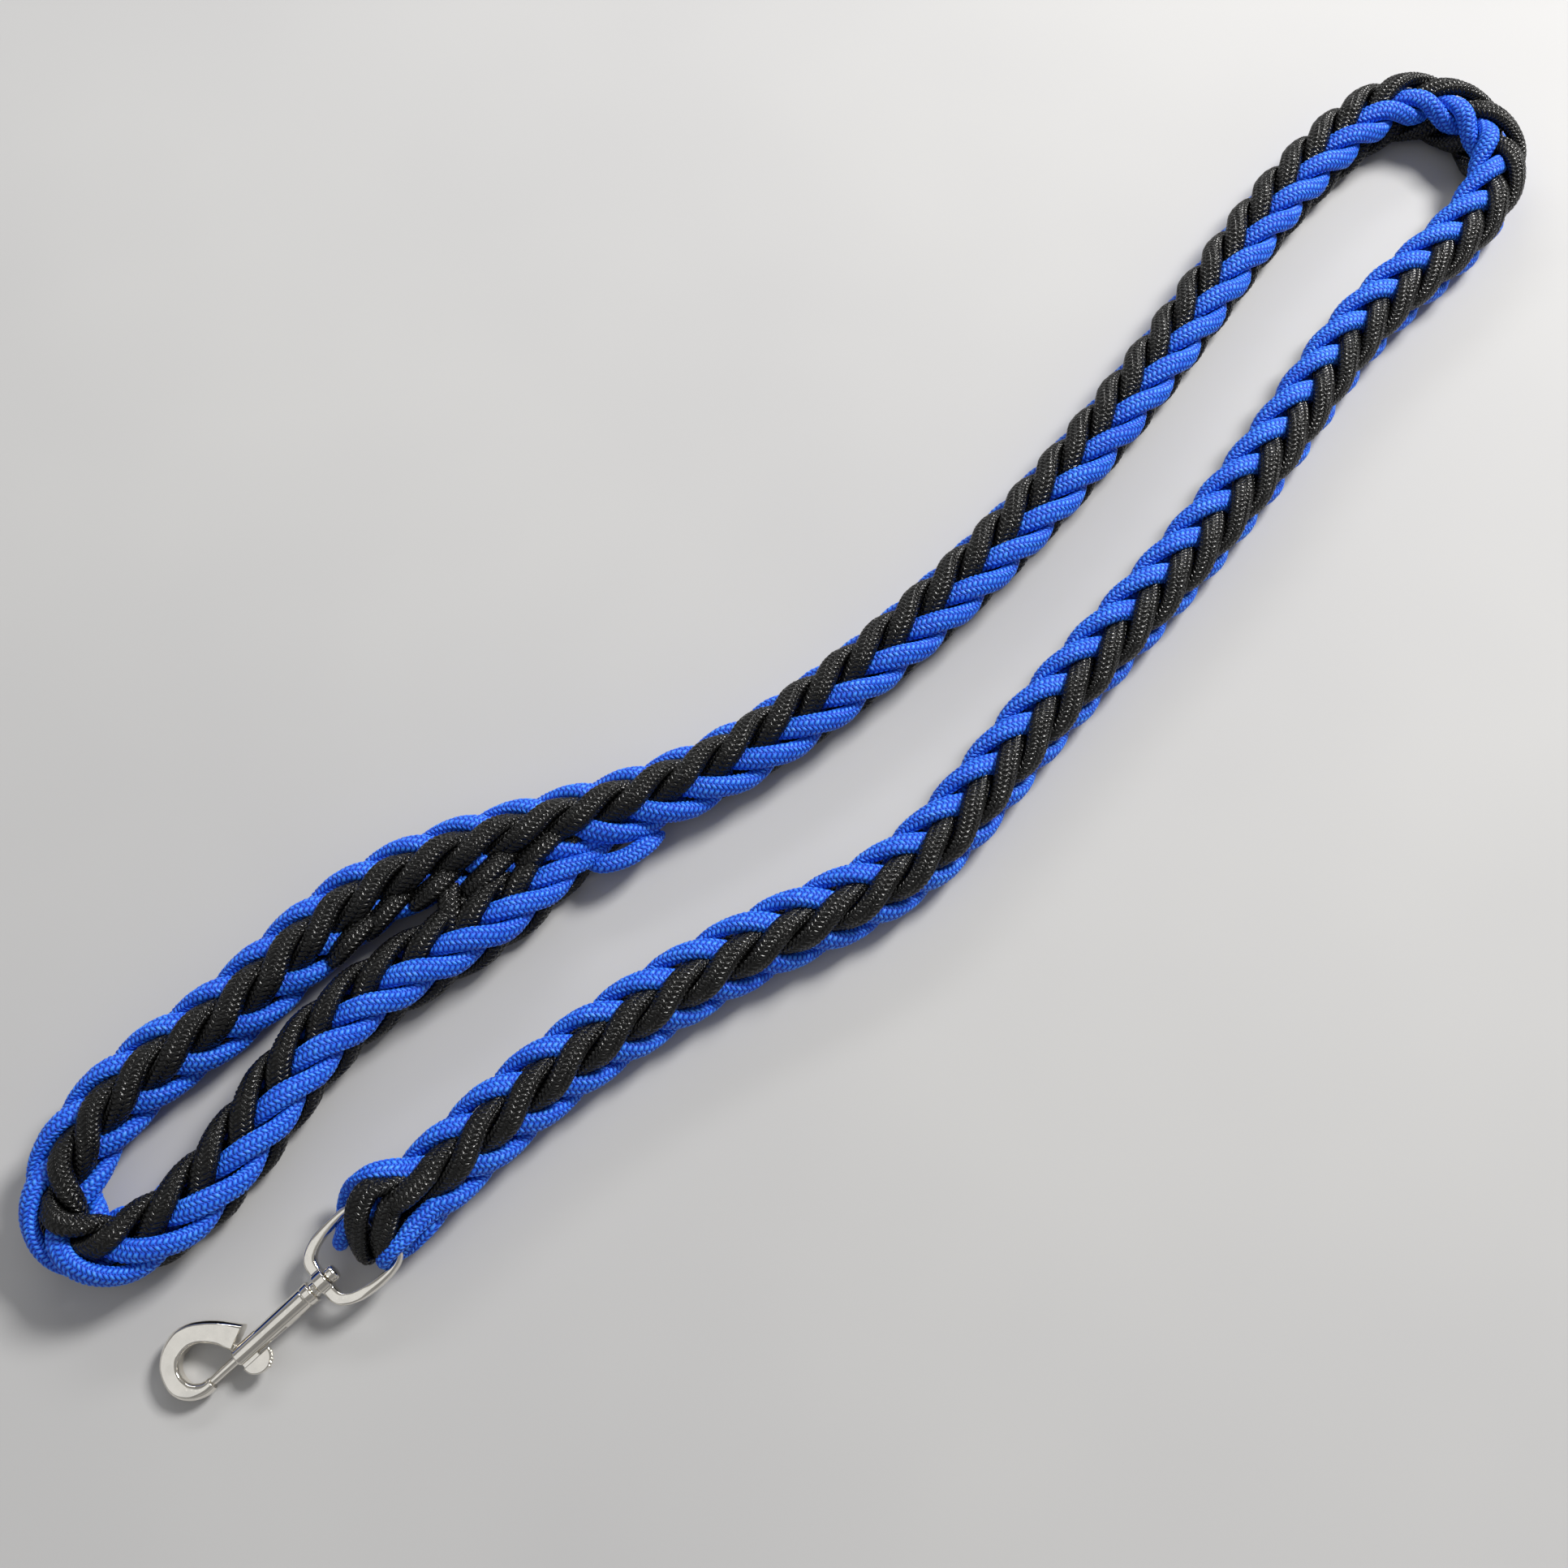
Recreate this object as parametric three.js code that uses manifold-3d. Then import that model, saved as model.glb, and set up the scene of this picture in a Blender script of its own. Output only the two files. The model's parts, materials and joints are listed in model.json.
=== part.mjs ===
// Braided cord lead with a spliced hand loop and a swivel trigger snap.
//
// Eight strands (four cords folded at the snap) make a square braid: every
// black strand winds one way round the axis, every blue strand the other way,
// and each passes over two and under two of the other colour.  The lead lies
// flat on z = 0: hand loop, main leg, a wide bend, free leg, snap.
//
// Units are millimetres, +Z is up.  The origin is the middle of the lead's
// footprint, on the surface it lies on.

import * as THREE from 'three';
import { mergeVertices } from 'three/addons/utils/BufferGeometryUtils.js';
import Module from 'manifold-3d';

// ------------------------------------------------------------ dimensions
// The plan points below have their own zero; this is the footprint's centre in that plan.
const PLAN_CENTRE = { x: 31.1, y: 289.4 };
const CENTRE_Z = 13.5;        // height of the braid's axis above the surface

const LAY = 89.6;             // length of one full turn of a strand round the braid
const SAMPLES_PER_LAY = 8;    // facets along a strand, per turn
const TIGHT_BEND = 48;        // bend radius below which a strand gets twice the facets
const MIN_FACET = 1.5;        // shortest facet allowed next to the end of a run
// A strand's path in the braid's section: amplitude of its first and third harmonics
const OUTWARD = { first: 12.2, third: 0.9 };  // towards the two faces of its own colour
const ACROSS = { first: 4.8, third: 0.9 };    // towards the other colour's faces
const CORD_W = 4.8;           // cord width
const CORD_T = 3.4;           // cord thickness, lean so that crossings stay clear
const LOOP_CORD_T = 2.8;      // leaner still round the tight end of the hand loop

// Where the lead is divided into bodies
const CUT = 8.0;              // half gap along the axis, at every division but the wide bend
const APEX_CUT = 6.0;         // half gap at the wide bend
const APEX = { x: 316.0, y: 559.5 };         // plan point that locates the wide bend's division
const LOOP_FOLD = { x: -188.4, y: 137.0 };   // plan point on the hand loop's fold line
const LOOP_FOLD_HEADING = 49.5;  // degrees; the fold line is square to this heading
const TAIL_START = 48;        // arc length where the spliced tails stop, clear of the braid
const CLIP_LENGTH = 112;      // length of the last stretch, before the snap
const EYE_RUN = 32;           // length over which the strands gather onto the eye

// The snap and the cross bar that the cords go round
const SNAP_HEADING = 42;      // degrees from +X
const BAR_AT = 67;            // distance from the barrel's open end to the bar
const BAR_R = 2.0;
const BAR_Z = 13.2;
const BARREL_MOUTH_Z = 5.95;  // height of the barrel's axis at its open end
const BAR_CLEARANCE = 0.45;   // gap between bar and cord

// Centre line of the braid, from the splice round the hand loop, up the main
// leg, round the wide bend and down the free leg: plan x, plan y, roll in degrees.
// Roll 0 has a black face up; + turns the left side up, - the right side.
const CENTRE_LINE = [
  [-88.2, 199.1, 40.0], [-113.5, 176.3, 46.6], [-141.5, 157.0, 47.3], [-168.2, 135.6, 46.4],
  [-188.9, 108.4, 45.5], [-207.4, 79.8, 40.0], [-232.3, 56.7, 29.5], [-240.9, 53.1, 27.4],
  [-249.9, 52.6, 26.2], [-258.0, 56.7, 25.0], [-263.3, 64.4, 23.8], [-264.3, 74.6, 22.2],
  [-258.7, 92.4, 19.2], [-236.8, 118.2, 13.9], [-210.1, 139.7, 11.2], [-186.1, 163.7, 9.8],
  [-159.6, 185.4, 8.5], [-128.7, 200.1, 5.4], [-96.2, 210.8, 1.1], [-63.8, 221.4, -3.9],
  [-32.6, 235.2, -11.7], [-3.6, 253.1, -21.2], [23.7, 273.9, -28.3], [49.3, 296.3, -29.2],
  [73.8, 320.1, -30.1], [97.3, 345.1, -31.3], [119.7, 371.0, -35.2], [140.9, 397.5, -38.4],
  [161.4, 424.7, -39.9], [181.1, 452.4, -41.3], [200.7, 480.6, -42.8], [221.0, 508.2, -44.3],
  [243.0, 534.1, -45.3], [267.8, 557.5, -46.0], [286.2, 567.6, -46.4], [301.5, 567.5, -46.7],
  [317.4, 558.5, -46.9], [325.4, 546.4, -46.3], [326.8, 532.9, -45.8], [320.7, 516.7, -45.2],
  [299.7, 489.7, -43.8], [274.8, 466.4, -42.5], [251.2, 441.7, -41.5], [230.7, 414.2, -40.6],
  [211.0, 386.4, -39.7], [190.3, 359.3, -38.8], [168.7, 332.9, -37.9], [146.2, 307.1, -35.9],
  [123.5, 281.7, -34.0], [100.9, 255.8, -32.0], [79.3, 229.2, -30.0], [56.4, 203.7, -28.1],
  [28.6, 184.1, -26.1], [-2.1, 169.4, -24.0], [-32.0, 153.2, -21.8], [-60.8, 134.7, -19.6],
  [-88.2, 114.4, -17.1], [-113.8, 91.6, -13.9], [-138.1, 67.7, -9.1], [-147.3, 58.7, -6.0],
];

const { degToRad } = THREE.MathUtils;
const UP = new THREE.Vector3(0, 0, 1);
const leftOf = (travel) => new THREE.Vector3(-travel.y, travel.x, 0);

// ------------------------------------------------------------ centre line
// Index of the span between knots that holds t.
function spanOf(knots, t) {
  let i = 0;
  while (i < knots.length - 2 && t > knots[i + 1]) i++;
  return i;
}

// Natural cubic spline: returns the function that interpolates the values over the knots.
function naturalSpline(knots, values) {
  const count = knots.length;
  const curvature = new Array(count).fill(0);
  const upper = new Array(count).fill(0);
  const reduced = new Array(count).fill(0);
  for (let i = 1; i < count - 1; i++) {
    const before = knots[i] - knots[i - 1];
    const after = knots[i + 1] - knots[i];
    const slopeChange = (values[i + 1] - values[i]) / after - (values[i] - values[i - 1]) / before;
    const pivot = 2 * (knots[i + 1] - knots[i - 1]) - before * upper[i - 1];
    upper[i] = after / pivot;
    reduced[i] = (3 * slopeChange - before * reduced[i - 1]) / pivot;
  }
  for (let i = count - 2; i > 0; i--) curvature[i] = reduced[i] - upper[i] * curvature[i + 1];
  return (t) => {
    const i = spanOf(knots, t);
    const width = knots[i + 1] - knots[i];
    const d = t - knots[i];
    const slope = (values[i + 1] - values[i]) / width
      - width * (curvature[i + 1] + 2 * curvature[i]) / 3;
    const cubic = (curvature[i + 1] - curvature[i]) / (3 * width);
    return values[i] + d * (slope + d * (curvature[i] + d * cubic));
  };
}

const ARC_STEP = 0.5;         // spacing of the centre line's samples
const SPLINE_STEP = 0.1;      // spacing at which the spline is measured

// Samples of the centre line, { x, y, roll }, at equal arc length.
function sampleCentreLine() {
  const knots = [0];
  for (let i = 1; i < CENTRE_LINE.length; i++) {
    const [x0, y0] = CENTRE_LINE[i - 1];
    const [x1, y1] = CENTRE_LINE[i];
    knots.push(knots[i - 1] + Math.hypot(x1 - x0, y1 - y0));
  }
  const splineX = naturalSpline(knots, CENTRE_LINE.map(([x]) => x - PLAN_CENTRE.x));
  const splineY = naturalSpline(knots, CENTRE_LINE.map(([, y]) => y - PLAN_CENTRE.y));
  const rollAt = (t) => {
    const i = spanOf(knots, t);
    const part = (t - knots[i]) / (knots[i + 1] - knots[i]);
    return CENTRE_LINE[i][2] + part * (CENTRE_LINE[i + 1][2] - CENTRE_LINE[i][2]);
  };

  const samples = [];
  let last = null;
  let arc = 0;
  let nextArc = 0;
  for (let t = 0; t <= knots[knots.length - 1]; t += SPLINE_STEP) {
    const point = { x: splineX(t), y: splineY(t), roll: rollAt(t) };
    if (last) arc += Math.hypot(point.x - last.x, point.y - last.y);
    if (arc >= nextArc) {
      samples.push(point);
      nextArc += ARC_STEP;
    }
    last = point;
  }
  return samples;
}
const line = sampleCentreLine();
const LENGTH = (line.length - 1) * ARC_STEP;
const BRAID_END = LENGTH - EYE_RUN;   // where the strands leave for the eye

// Centre line at arc length s.
function at(s) {
  const place = Math.min(Math.max(s / ARC_STEP, 0), line.length - 1.001);
  const i = Math.floor(place);
  const part = place - i;
  const mix = (key) => line[i][key] * (1 - part) + line[i + 1][key] * part;
  return { x: mix('x'), y: mix('y'), roll: mix('roll') };
}

function travelAt(s) {
  const reach = 1.5;
  const before = at(s - reach);
  const after = at(s + reach);
  return new THREE.Vector3(after.x - before.x, after.y - before.y, 0).normalize();
}

// Section axes, left and up rolled about travel by an angle in radians.
function sectionAxes(travel, roll) {
  const left = leftOf(travel);
  return {
    side: left.clone().multiplyScalar(Math.cos(roll)).addScaledVector(UP, Math.sin(roll)),
    face: UP.clone().multiplyScalar(Math.cos(roll)).addScaledVector(left, -Math.sin(roll)),
  };
}
const inSection = (axes, side, face) =>
  axes.side.clone().multiplyScalar(side).addScaledVector(axes.face, face);

function bendRadius(s) {
  const reach = 4;
  const turned = travelAt(s - reach).angleTo(travelAt(s + reach));
  return 2 * reach / Math.max(turned, 1e-3);
}

// ------------------------------------------------------------ strands
// A strand's place in the section at an arc length: side and face, and the
// direction in which the cord's flat looks out.
function strandSection(colour, k, s) {
  const wound = 2 * Math.PI / LAY * (s - BRAID_END);
  const isBlack = colour === 'black';
  const angle = (isBlack ? Math.PI / 4 + wound : -wound) + k * Math.PI / 2;
  const [sideWave, faceWave] = isBlack ? [ACROSS, OUTWARD] : [OUTWARD, ACROSS];
  return {
    side: sideWave.first * Math.sin(angle) + sideWave.third * Math.sin(3 * angle),
    face: faceWave.first * Math.cos(angle) - faceWave.third * Math.cos(3 * angle),
    normalSide: Math.sin(angle),
    normalFace: Math.cos(angle),
  };
}

function strandPoint(colour, k, s) {
  const { x, y, roll } = at(s);
  const axes = sectionAxes(travelAt(s), degToRad(roll));
  const { side, face, normalSide, normalFace } = strandSection(colour, k, s);
  return {
    point: new THREE.Vector3(x, y, CENTRE_Z).add(inSection(axes, side, face)),
    normal: inSection(axes, normalSide, normalFace),
  };
}

// Samples stand a facet apart, and half a facet apart in a tight bend or at an end.
function strandRun(colour, k, from, to) {
  const half = LAY / SAMPLES_PER_LAY / 2;
  const stations = [strandPoint(colour, k, from)];
  let i = Math.floor((from - BRAID_END) / half) + 1;
  for (; BRAID_END + i * half < to - MIN_FACET; i++) {
    const s = BRAID_END + i * half;
    if (s < from + MIN_FACET) continue;
    const nearEnd = s < from + 3 * half || s > to - 3 * half;
    if (i % 2 === 0 || nearEnd || bendRadius(s) < TIGHT_BEND) {
      stations.push(strandPoint(colour, k, s));
    }
  }
  stations.push(strandPoint(colour, k, to));
  return stations;
}

// A path through stations { point, normal }, swept with the normal given at each.
class CordPath extends THREE.Curve {
  constructor(stations) {
    super();
    this.stations = stations;
  }

  getPointAt(u, target = new THREE.Vector3()) {
    const place = u * (this.stations.length - 1);
    const i = Math.min(Math.floor(place), this.stations.length - 2);
    return target.copy(this.stations[i].point).lerp(this.stations[i + 1].point, place - i);
  }

  computeFrenetFrames() {
    const frames = { tangents: [], normals: [], binormals: [] };
    const last = this.stations.length - 1;
    this.stations.forEach(({ normal: given }, i) => {
      const before = this.stations[Math.max(i - 1, 0)].point;
      const after = this.stations[Math.min(i + 1, last)].point;
      const tangent = after.clone().sub(before).normalize();
      const normal = given.clone().addScaledVector(tangent, -given.dot(tangent)).normalize();
      frames.tangents.push(tangent);
      frames.normals.push(normal);
      frames.binormals.push(new THREE.Vector3().crossVectors(tangent, normal));
    });
    return frames;
  }
}

// Closed outline through points with x and y.
function outline(points) {
  const shape = new THREE.Shape(points);
  shape.closePath();
  return shape;
}
const toPoints = (table) => table.map(([x, y]) => new THREE.Vector3(x, y, 0));

function sweep(stations, width = CORD_W, thickness = CORD_T) {
  const t = thickness / 2;
  const w = width / 2;
  return new THREE.ExtrudeGeometry(outline(toPoints([[-t, -w], [t, -w], [t, w], [-t, w]])), {
    steps: stations.length - 1,
    extrudePath: new CordPath(stations),
    bevelEnabled: false,
  });
}

// ------------------------------------------------------------ solids and meshes
const wasm = await Module();
wasm.setup();

function solid(geometry) {
  const bare = geometry.clone();
  bare.deleteAttribute('normal');
  bare.deleteAttribute('uv');
  const merged = mergeVertices(bare, 1e-4);
  return new wasm.Manifold(new wasm.Mesh({
    numProp: 3,
    vertProperties: new Float32Array(merged.attributes.position.array),
    triVerts: new Uint32Array(merged.index.array),
  }));
}

function geometryOf(manifold) {
  const mesh = manifold.getMesh();
  const geometry = new THREE.BufferGeometry();
  const positions = new Float32Array(mesh.vertProperties);
  geometry.setAttribute('position', new THREE.BufferAttribute(positions, 3));
  geometry.setIndex(new THREE.BufferAttribute(new Uint32Array(mesh.triVerts), 1));
  geometry.computeVertexNormals();
  return geometry;
}

const LOOKS = {
  black: { color: 0x191816, roughness: 0.62, metalness: 0 },
  blue: { color: 0x2450d8, roughness: 0.5, metalness: 0 },
  chrome: { color: 0xd5d8da, roughness: 0.12, metalness: 1 },
  steel: { color: 0x9a9c9e, roughness: 0.35, metalness: 1 },
};
function add(parent, name, geometry, look) {
  const mesh = new THREE.Mesh(geometry, new THREE.MeshStandardMaterial(LOOKS[look]));
  mesh.name = name;
  parent.add(mesh);
}

// ------------------------------------------------------------ braided stretches
// Arc length between two limits where a measure of the centre line is least.
function arcOfLeast(from, to, measure) {
  let best = from;
  let least = Infinity;
  for (let s = from; s <= to; s += ARC_STEP) {
    const { x, y } = at(s);
    const value = measure(x + PLAN_CENTRE.x, y + PLAN_CENTRE.y);
    if (value < least) {
      least = value;
      best = s;
    }
  }
  return best;
}
const distanceToApex = (x, y) => Math.hypot(x - APEX.x, y - APEX.y);
function distanceToLoopFold(x, y) {
  const heading = degToRad(LOOP_FOLD_HEADING);
  return Math.abs((x - LOOP_FOLD.x) * Math.cos(heading) + (y - LOOP_FOLD.y) * Math.sin(heading));
}

const tailFold = arcOfLeast(60, 180, distanceToLoopFold);
const legFold = arcOfLeast(280, 440, distanceToLoopFold);
const apex = arcOfLeast(0.5 * LENGTH, 0.7 * LENGTH, distanceToApex);
const clipFold = LENGTH - CLIP_LENGTH;

const STRETCHES = [
  { name: 'splice_tail', from: TAIL_START, to: tailFold - CUT, thickness: CORD_T },
  { name: 'hand_loop_cord', from: tailFold + CUT, to: legFold - CUT, thickness: LOOP_CORD_T },
  { name: 'main_leg_cord', from: legFold + CUT, to: apex - APEX_CUT, thickness: CORD_T },
  { name: 'free_leg_cord', from: apex + APEX_CUT, to: clipFold - CUT, thickness: CORD_T },
];

function addBraid(lead) {
  for (const colour of ['black', 'blue']) {
    for (let k = 0; k < 4; k++) {
      for (const { name, from, to, thickness } of STRETCHES) {
        const geometry = sweep(strandRun(colour, k, from, to), CORD_W, thickness);
        add(lead, `${name}_${colour}_${k + 1}`, geometry, colour);
      }
    }
  }
}

// ------------------------------------------------------------ eye cords
// The four cords of the last stretch: each comes down the braid, gathers to
// the eye, turns round its cross bar and goes back up the braid.
const snapHeading = degToRad(SNAP_HEADING);
const eyeTravel = new THREE.Vector3(-Math.cos(snapHeading), -Math.sin(snapHeading), 0);
const barCentre = new THREE.Vector3(at(LENGTH).x, at(LENGTH).y, BAR_Z);
const BIGHT_R = BAR_R + BAR_CLEARANCE + CORD_T / 2;
const BIGHT_FACETS = 6;
const GATHER_STATIONS = [0.25, 0.5, 0.75];

// lateral: place along the bar, + to the left of travel; top and bottom: strand numbers
const EYE_CORDS = [
  { colour: 'black', hand: 'left', top: 0, bottom: 1, lateral: 3.2 },
  { colour: 'black', hand: 'right', top: 3, bottom: 2, lateral: -3.2 },
  { colour: 'blue', hand: 'left', top: 1, bottom: 2, lateral: 9.4 },
  { colour: 'blue', hand: 'right', top: 0, bottom: 3, lateral: -9.4 },
];

function smooth(x) {
  const u = Math.min(Math.max(x, 0), 1);
  return u * u * (3 - 2 * u);
}

// Station between the braid (u = 0) and the bar (u = 1); over is 1 above it, -1 below.
function gather(colour, k, lateral, over, u) {
  const s = BRAID_END + u * EYE_RUN;
  const start = strandSection(colour, k, BRAID_END);
  const isInner = Math.abs(start.side) < 1;   // a blue strand coming out from under the blacks
  const sideShare = smooth(isInner ? u / 0.62 : u);
  let faceShare = smooth(u / 0.8);
  if (isInner) faceShare = smooth(u);
  else if (colour === 'black') faceShare = smooth((u - 0.4) / 0.6);

  const { x, y, roll } = at(s);
  const axes = sectionAxes(travelAt(s), degToRad(roll) * (1 - smooth(u)));
  const side = start.side + (lateral - start.side) * sideShare;
  const face = start.face + (over * BIGHT_R - start.face) * faceShare;
  const normalSide = start.normalSide * (1 - faceShare);
  const normalFace = start.normalFace * (1 - faceShare) + over * faceShare;
  const origin = new THREE.Vector3(x, y, CENTRE_Z + (BAR_Z - CENTRE_Z) * u);
  return {
    point: origin.add(inSection(axes, side, face)),
    normal: inSection(axes, normalSide, normalFace).normalize(),
  };
}

// Half turn from above the bar, round its snap side, to below it.
function bight(lateral) {
  const centre = barCentre.clone().addScaledVector(leftOf(eyeTravel), lateral);
  const stations = [];
  for (let i = 0; i <= BIGHT_FACETS; i++) {
    const angle = Math.PI / 2 - Math.PI * i / BIGHT_FACETS;
    const normal = eyeTravel.clone().multiplyScalar(Math.cos(angle));
    normal.addScaledVector(UP, Math.sin(angle));
    stations.push({ point: centre.clone().addScaledVector(normal, BIGHT_R), normal });
  }
  return stations;
}

function eyeCord({ colour, top, bottom, lateral }) {
  const strand = (k, over) => [
    ...strandRun(colour, k, clipFold + CUT, BRAID_END),
    ...GATHER_STATIONS.map((u) => gather(colour, k, lateral, over, u)),
  ];
  return sweep([...strand(top, 1), ...bight(lateral), ...strand(bottom, -1).reverse()]);
}

// ------------------------------------------------------------ snap
// Drawn with its axis along X: x = 0 at the barrel's open end, +X towards the
// eye, +Y to the side the hook springs from, +Z up.
const BARREL_R = 3.9;
const BARREL_END = 36;
const BAND_R = 4.25;          // raised band at the barrel's eye end
const NECK_R = 2.7;
const BORE_R = 2.8;
const BORE_END = 33.5;
const SLOT_END = 20.6;
const SLOT_W = 3.4;
const POST_R = 1.9;
const POST_HEAD_R = 3.2;
const COLLAR_FROM = 37.6;
const COLLAR_TO = 42.2;
const COLLAR_R = 4.9;
const COLLAR_BORE_R = 2.3;
const POST_FROM = COLLAR_FROM - 0.4;
const POST_HEAD_FROM = COLLAR_TO + 0.5;
const POST_HEAD_END = COLLAR_TO + 3.8;
const HOOK_T = 6.4;
const ROD_R = 2.0;
const ROD_TIP = -13.9;
const ROD_ROOT = 0.4;
const ROD_SEAT = { clearance: 0.35, depth: 0.4, mouth: -11 };  // recess in the hook's nose
const PISTON_R = 2.5;
const PISTON_END = 10;
const TAB_T = 2.6;
const TAB_ARC = { x: 5.6, y: -4.5, r: 5.8 };   // rounded edge of the thumb tab
const EYE_IN = 12.5;          // half width between the arms
const EYE_OUT = 15.9;         // half width over the arms
const EYE_T = 4.2;
const ARM_BEND = BAR_AT - 12; // where the arms turn parallel
const SPRING_R = 2.05;
const SPRING_WIRE = 0.84;
const SPRING_FROM = 11.1;
const SPRING_TO = 32.5;
const SPRING_TURNS = 8;
const SPRING_FACETS = 9;      // per turn
const OVERRUN = 1;            // how far a cutter passes the face it opens

// Hook's outer edge, from its root on the barrel round to the nose: x, y
const HOOK_OUTER = [
  [8.6, 3.2], [8.4, 6.0], [5.6, 9.8], [2.4, 13.4], [-2.6, 17.6], [-7.8, 20.8], [-13.1, 21.9],
  [-18.4, 20.6], [-22.4, 16.9], [-24.9, 11.4], [-25.3, 5.6], [-23.4, -0.2], [-19.4, -3.0],
  [-15.6, -3.6], [-13.0, -3.4],
];
// Hook's inner edge, from the nose back to the root: x, y
const HOOK_INNER = [
  [-13.0, 1.9], [-15.0, 2.2], [-17.4, 3.4], [-18.9, 6.2], [-18.7, 9.8], [-16.4, 12.6],
  [-12.8, 13.7], [-8.6, 13.0], [-4.9, 10.4], [-2.2, 6.9], [-0.6, 4.2], [-0.2, 3.2],
];

// Solid turned about X from a profile of [radius, x].
function turned(profile, segments) {
  const geometry = new THREE.LatheGeometry(toPoints(profile), segments);
  geometry.rotateZ(-Math.PI / 2);   // the lathe's +Y axis becomes +X
  return solid(geometry);
}
function cylinder(radius, from, to) {
  const geometry = new THREE.CylinderGeometry(radius, radius, to - from, 24);
  geometry.rotateZ(-Math.PI / 2);
  geometry.translate((from + to) / 2, 0, 0);
  return solid(geometry);
}
// Box centred on z = 0.
function box([x0, x1], [y0, y1], thickness) {
  const geometry = new THREE.BoxGeometry(x1 - x0, y1 - y0, thickness);
  geometry.translate((x0 + x1) / 2, (y0 + y1) / 2, 0);
  return solid(geometry);
}
// Flat plate centred on z = 0.
function plate(shape, thickness, curveSegments) {
  const options = { depth: thickness, bevelEnabled: false, curveSegments };
  const geometry = new THREE.ExtrudeGeometry(shape, options);
  geometry.translate(0, 0, -thickness / 2);
  return solid(geometry);
}

// Barrel, neck, swivel post and its peened head, turned in one.
function barrel() {
  return turned([
    [0, 0], [BARREL_R, 0], [BARREL_R, BARREL_END - 3],
    [BAND_R, BARREL_END - 2.6], [BAND_R, BARREL_END - 0.4],
    [NECK_R, BARREL_END], [NECK_R, POST_FROM],
    [POST_R, POST_FROM], [POST_R, POST_HEAD_FROM],
    [POST_HEAD_R, POST_HEAD_FROM], [POST_HEAD_R, COLLAR_TO + 2.6],
    [2.0, POST_HEAD_END], [0, POST_HEAD_END],
  ], 24);
}

// Flat-sided hook: leaves the barrel at its root and comes back round to a nose.
function hook() {
  const curve = (table, divisions) =>
    new THREE.CatmullRomCurve3(toPoints(table), false, 'centripetal').getPoints(divisions);
  return plate(outline([...curve(HOOK_OUTER, 30), ...curve(HOOK_INNER, 24)]), HOOK_T, 10);
}

function snapBody() {
  const { clearance, depth, mouth } = ROD_SEAT;
  return geometryOf(barrel().add(hook())
    .subtract(cylinder(BORE_R, -OVERRUN, BORE_END))
    .subtract(box([-OVERRUN, SLOT_END], [-6, -1.5], SLOT_W))   // slot for the thumb tab
    .subtract(cylinder(ROD_R + clearance, ROD_TIP - depth, mouth)));
}

// Both arms and their root, open at the bar end.
function eyeOutline() {
  const rootX = COLLAR_FROM + 0.3;
  const shoulder = { x: COLLAR_FROM + 2.2, y: 8.2 };
  const crotch = { x: COLLAR_TO + 0.6, y: 6.4 };
  const rootY = 4.4;
  const outerControl = { x: ARM_BEND - 9, y: EYE_OUT - 0.6 };
  const innerControl = { x: ARM_BEND - 7.5, y: EYE_IN - 0.6 };
  const innerBend = ARM_BEND + 1;

  const shape = new THREE.Shape();
  shape.moveTo(BAR_AT, -EYE_OUT);
  shape.lineTo(ARM_BEND, -EYE_OUT);
  shape.quadraticCurveTo(outerControl.x, -outerControl.y, shoulder.x, -shoulder.y);
  shape.lineTo(rootX, -rootY);
  shape.lineTo(rootX, rootY);
  shape.lineTo(shoulder.x, shoulder.y);
  shape.quadraticCurveTo(outerControl.x, outerControl.y, ARM_BEND, EYE_OUT);
  shape.lineTo(BAR_AT, EYE_OUT);
  shape.lineTo(BAR_AT, EYE_IN);
  shape.lineTo(innerBend, EYE_IN);
  shape.quadraticCurveTo(innerControl.x, innerControl.y, crotch.x, crotch.y);
  shape.lineTo(COLLAR_TO, rootY);
  shape.lineTo(COLLAR_TO, -rootY);
  shape.lineTo(crotch.x, -crotch.y);
  shape.quadraticCurveTo(innerControl.x, -innerControl.y, innerBend, -EYE_IN);
  shape.lineTo(BAR_AT, -EYE_IN);
  shape.closePath();
  return shape;
}

// Swivel eye: collar on the post, two arms, and the bar the cords go round.
function swivelEye() {
  const bar = new THREE.CylinderGeometry(BAR_R, BAR_R, 2 * EYE_OUT - 0.6, 16);
  bar.translate(BAR_AT, 0, 0);
  return geometryOf(plate(eyeOutline(), EYE_T, 8)
    .add(solid(bar))
    .add(cylinder(COLLAR_R, COLLAR_FROM, COLLAR_TO))
    .subtract(cylinder(COLLAR_BORE_R, COLLAR_FROM - OVERRUN, COLLAR_TO + OVERRUN)));
}

// Bolt: nose rod, piston in the bore, and the thumb tab through the slot.
function triggerBolt() {
  const rodAndPiston = turned([
    [0, ROD_TIP], [ROD_R - 0.5, ROD_TIP], [ROD_R, ROD_TIP + 0.5], [ROD_R, ROD_ROOT],
    [PISTON_R, ROD_ROOT], [PISTON_R, PISTON_END], [0, PISTON_END],
  ], 18);

  const stem = { from: 0.4, to: 7.6, top: -3.0 };
  const tab = new THREE.Shape();
  tab.moveTo(stem.from, stem.top);
  tab.lineTo(stem.to, stem.top);
  tab.lineTo(stem.to, TAB_ARC.y);
  tab.lineTo(TAB_ARC.x + TAB_ARC.r, TAB_ARC.y);
  tab.absarc(TAB_ARC.x, TAB_ARC.y, TAB_ARC.r, 0, -Math.PI, true);
  tab.lineTo(stem.from, TAB_ARC.y);
  tab.closePath();

  // the box joins the tab's stem to the piston
  return geometryOf(rodAndPiston
    .add(plate(tab, TAB_T, 8))
    .add(box([stem.from + 0.2, stem.to - 0.2], [-3.4, -1.2], TAB_T)));
}

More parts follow.
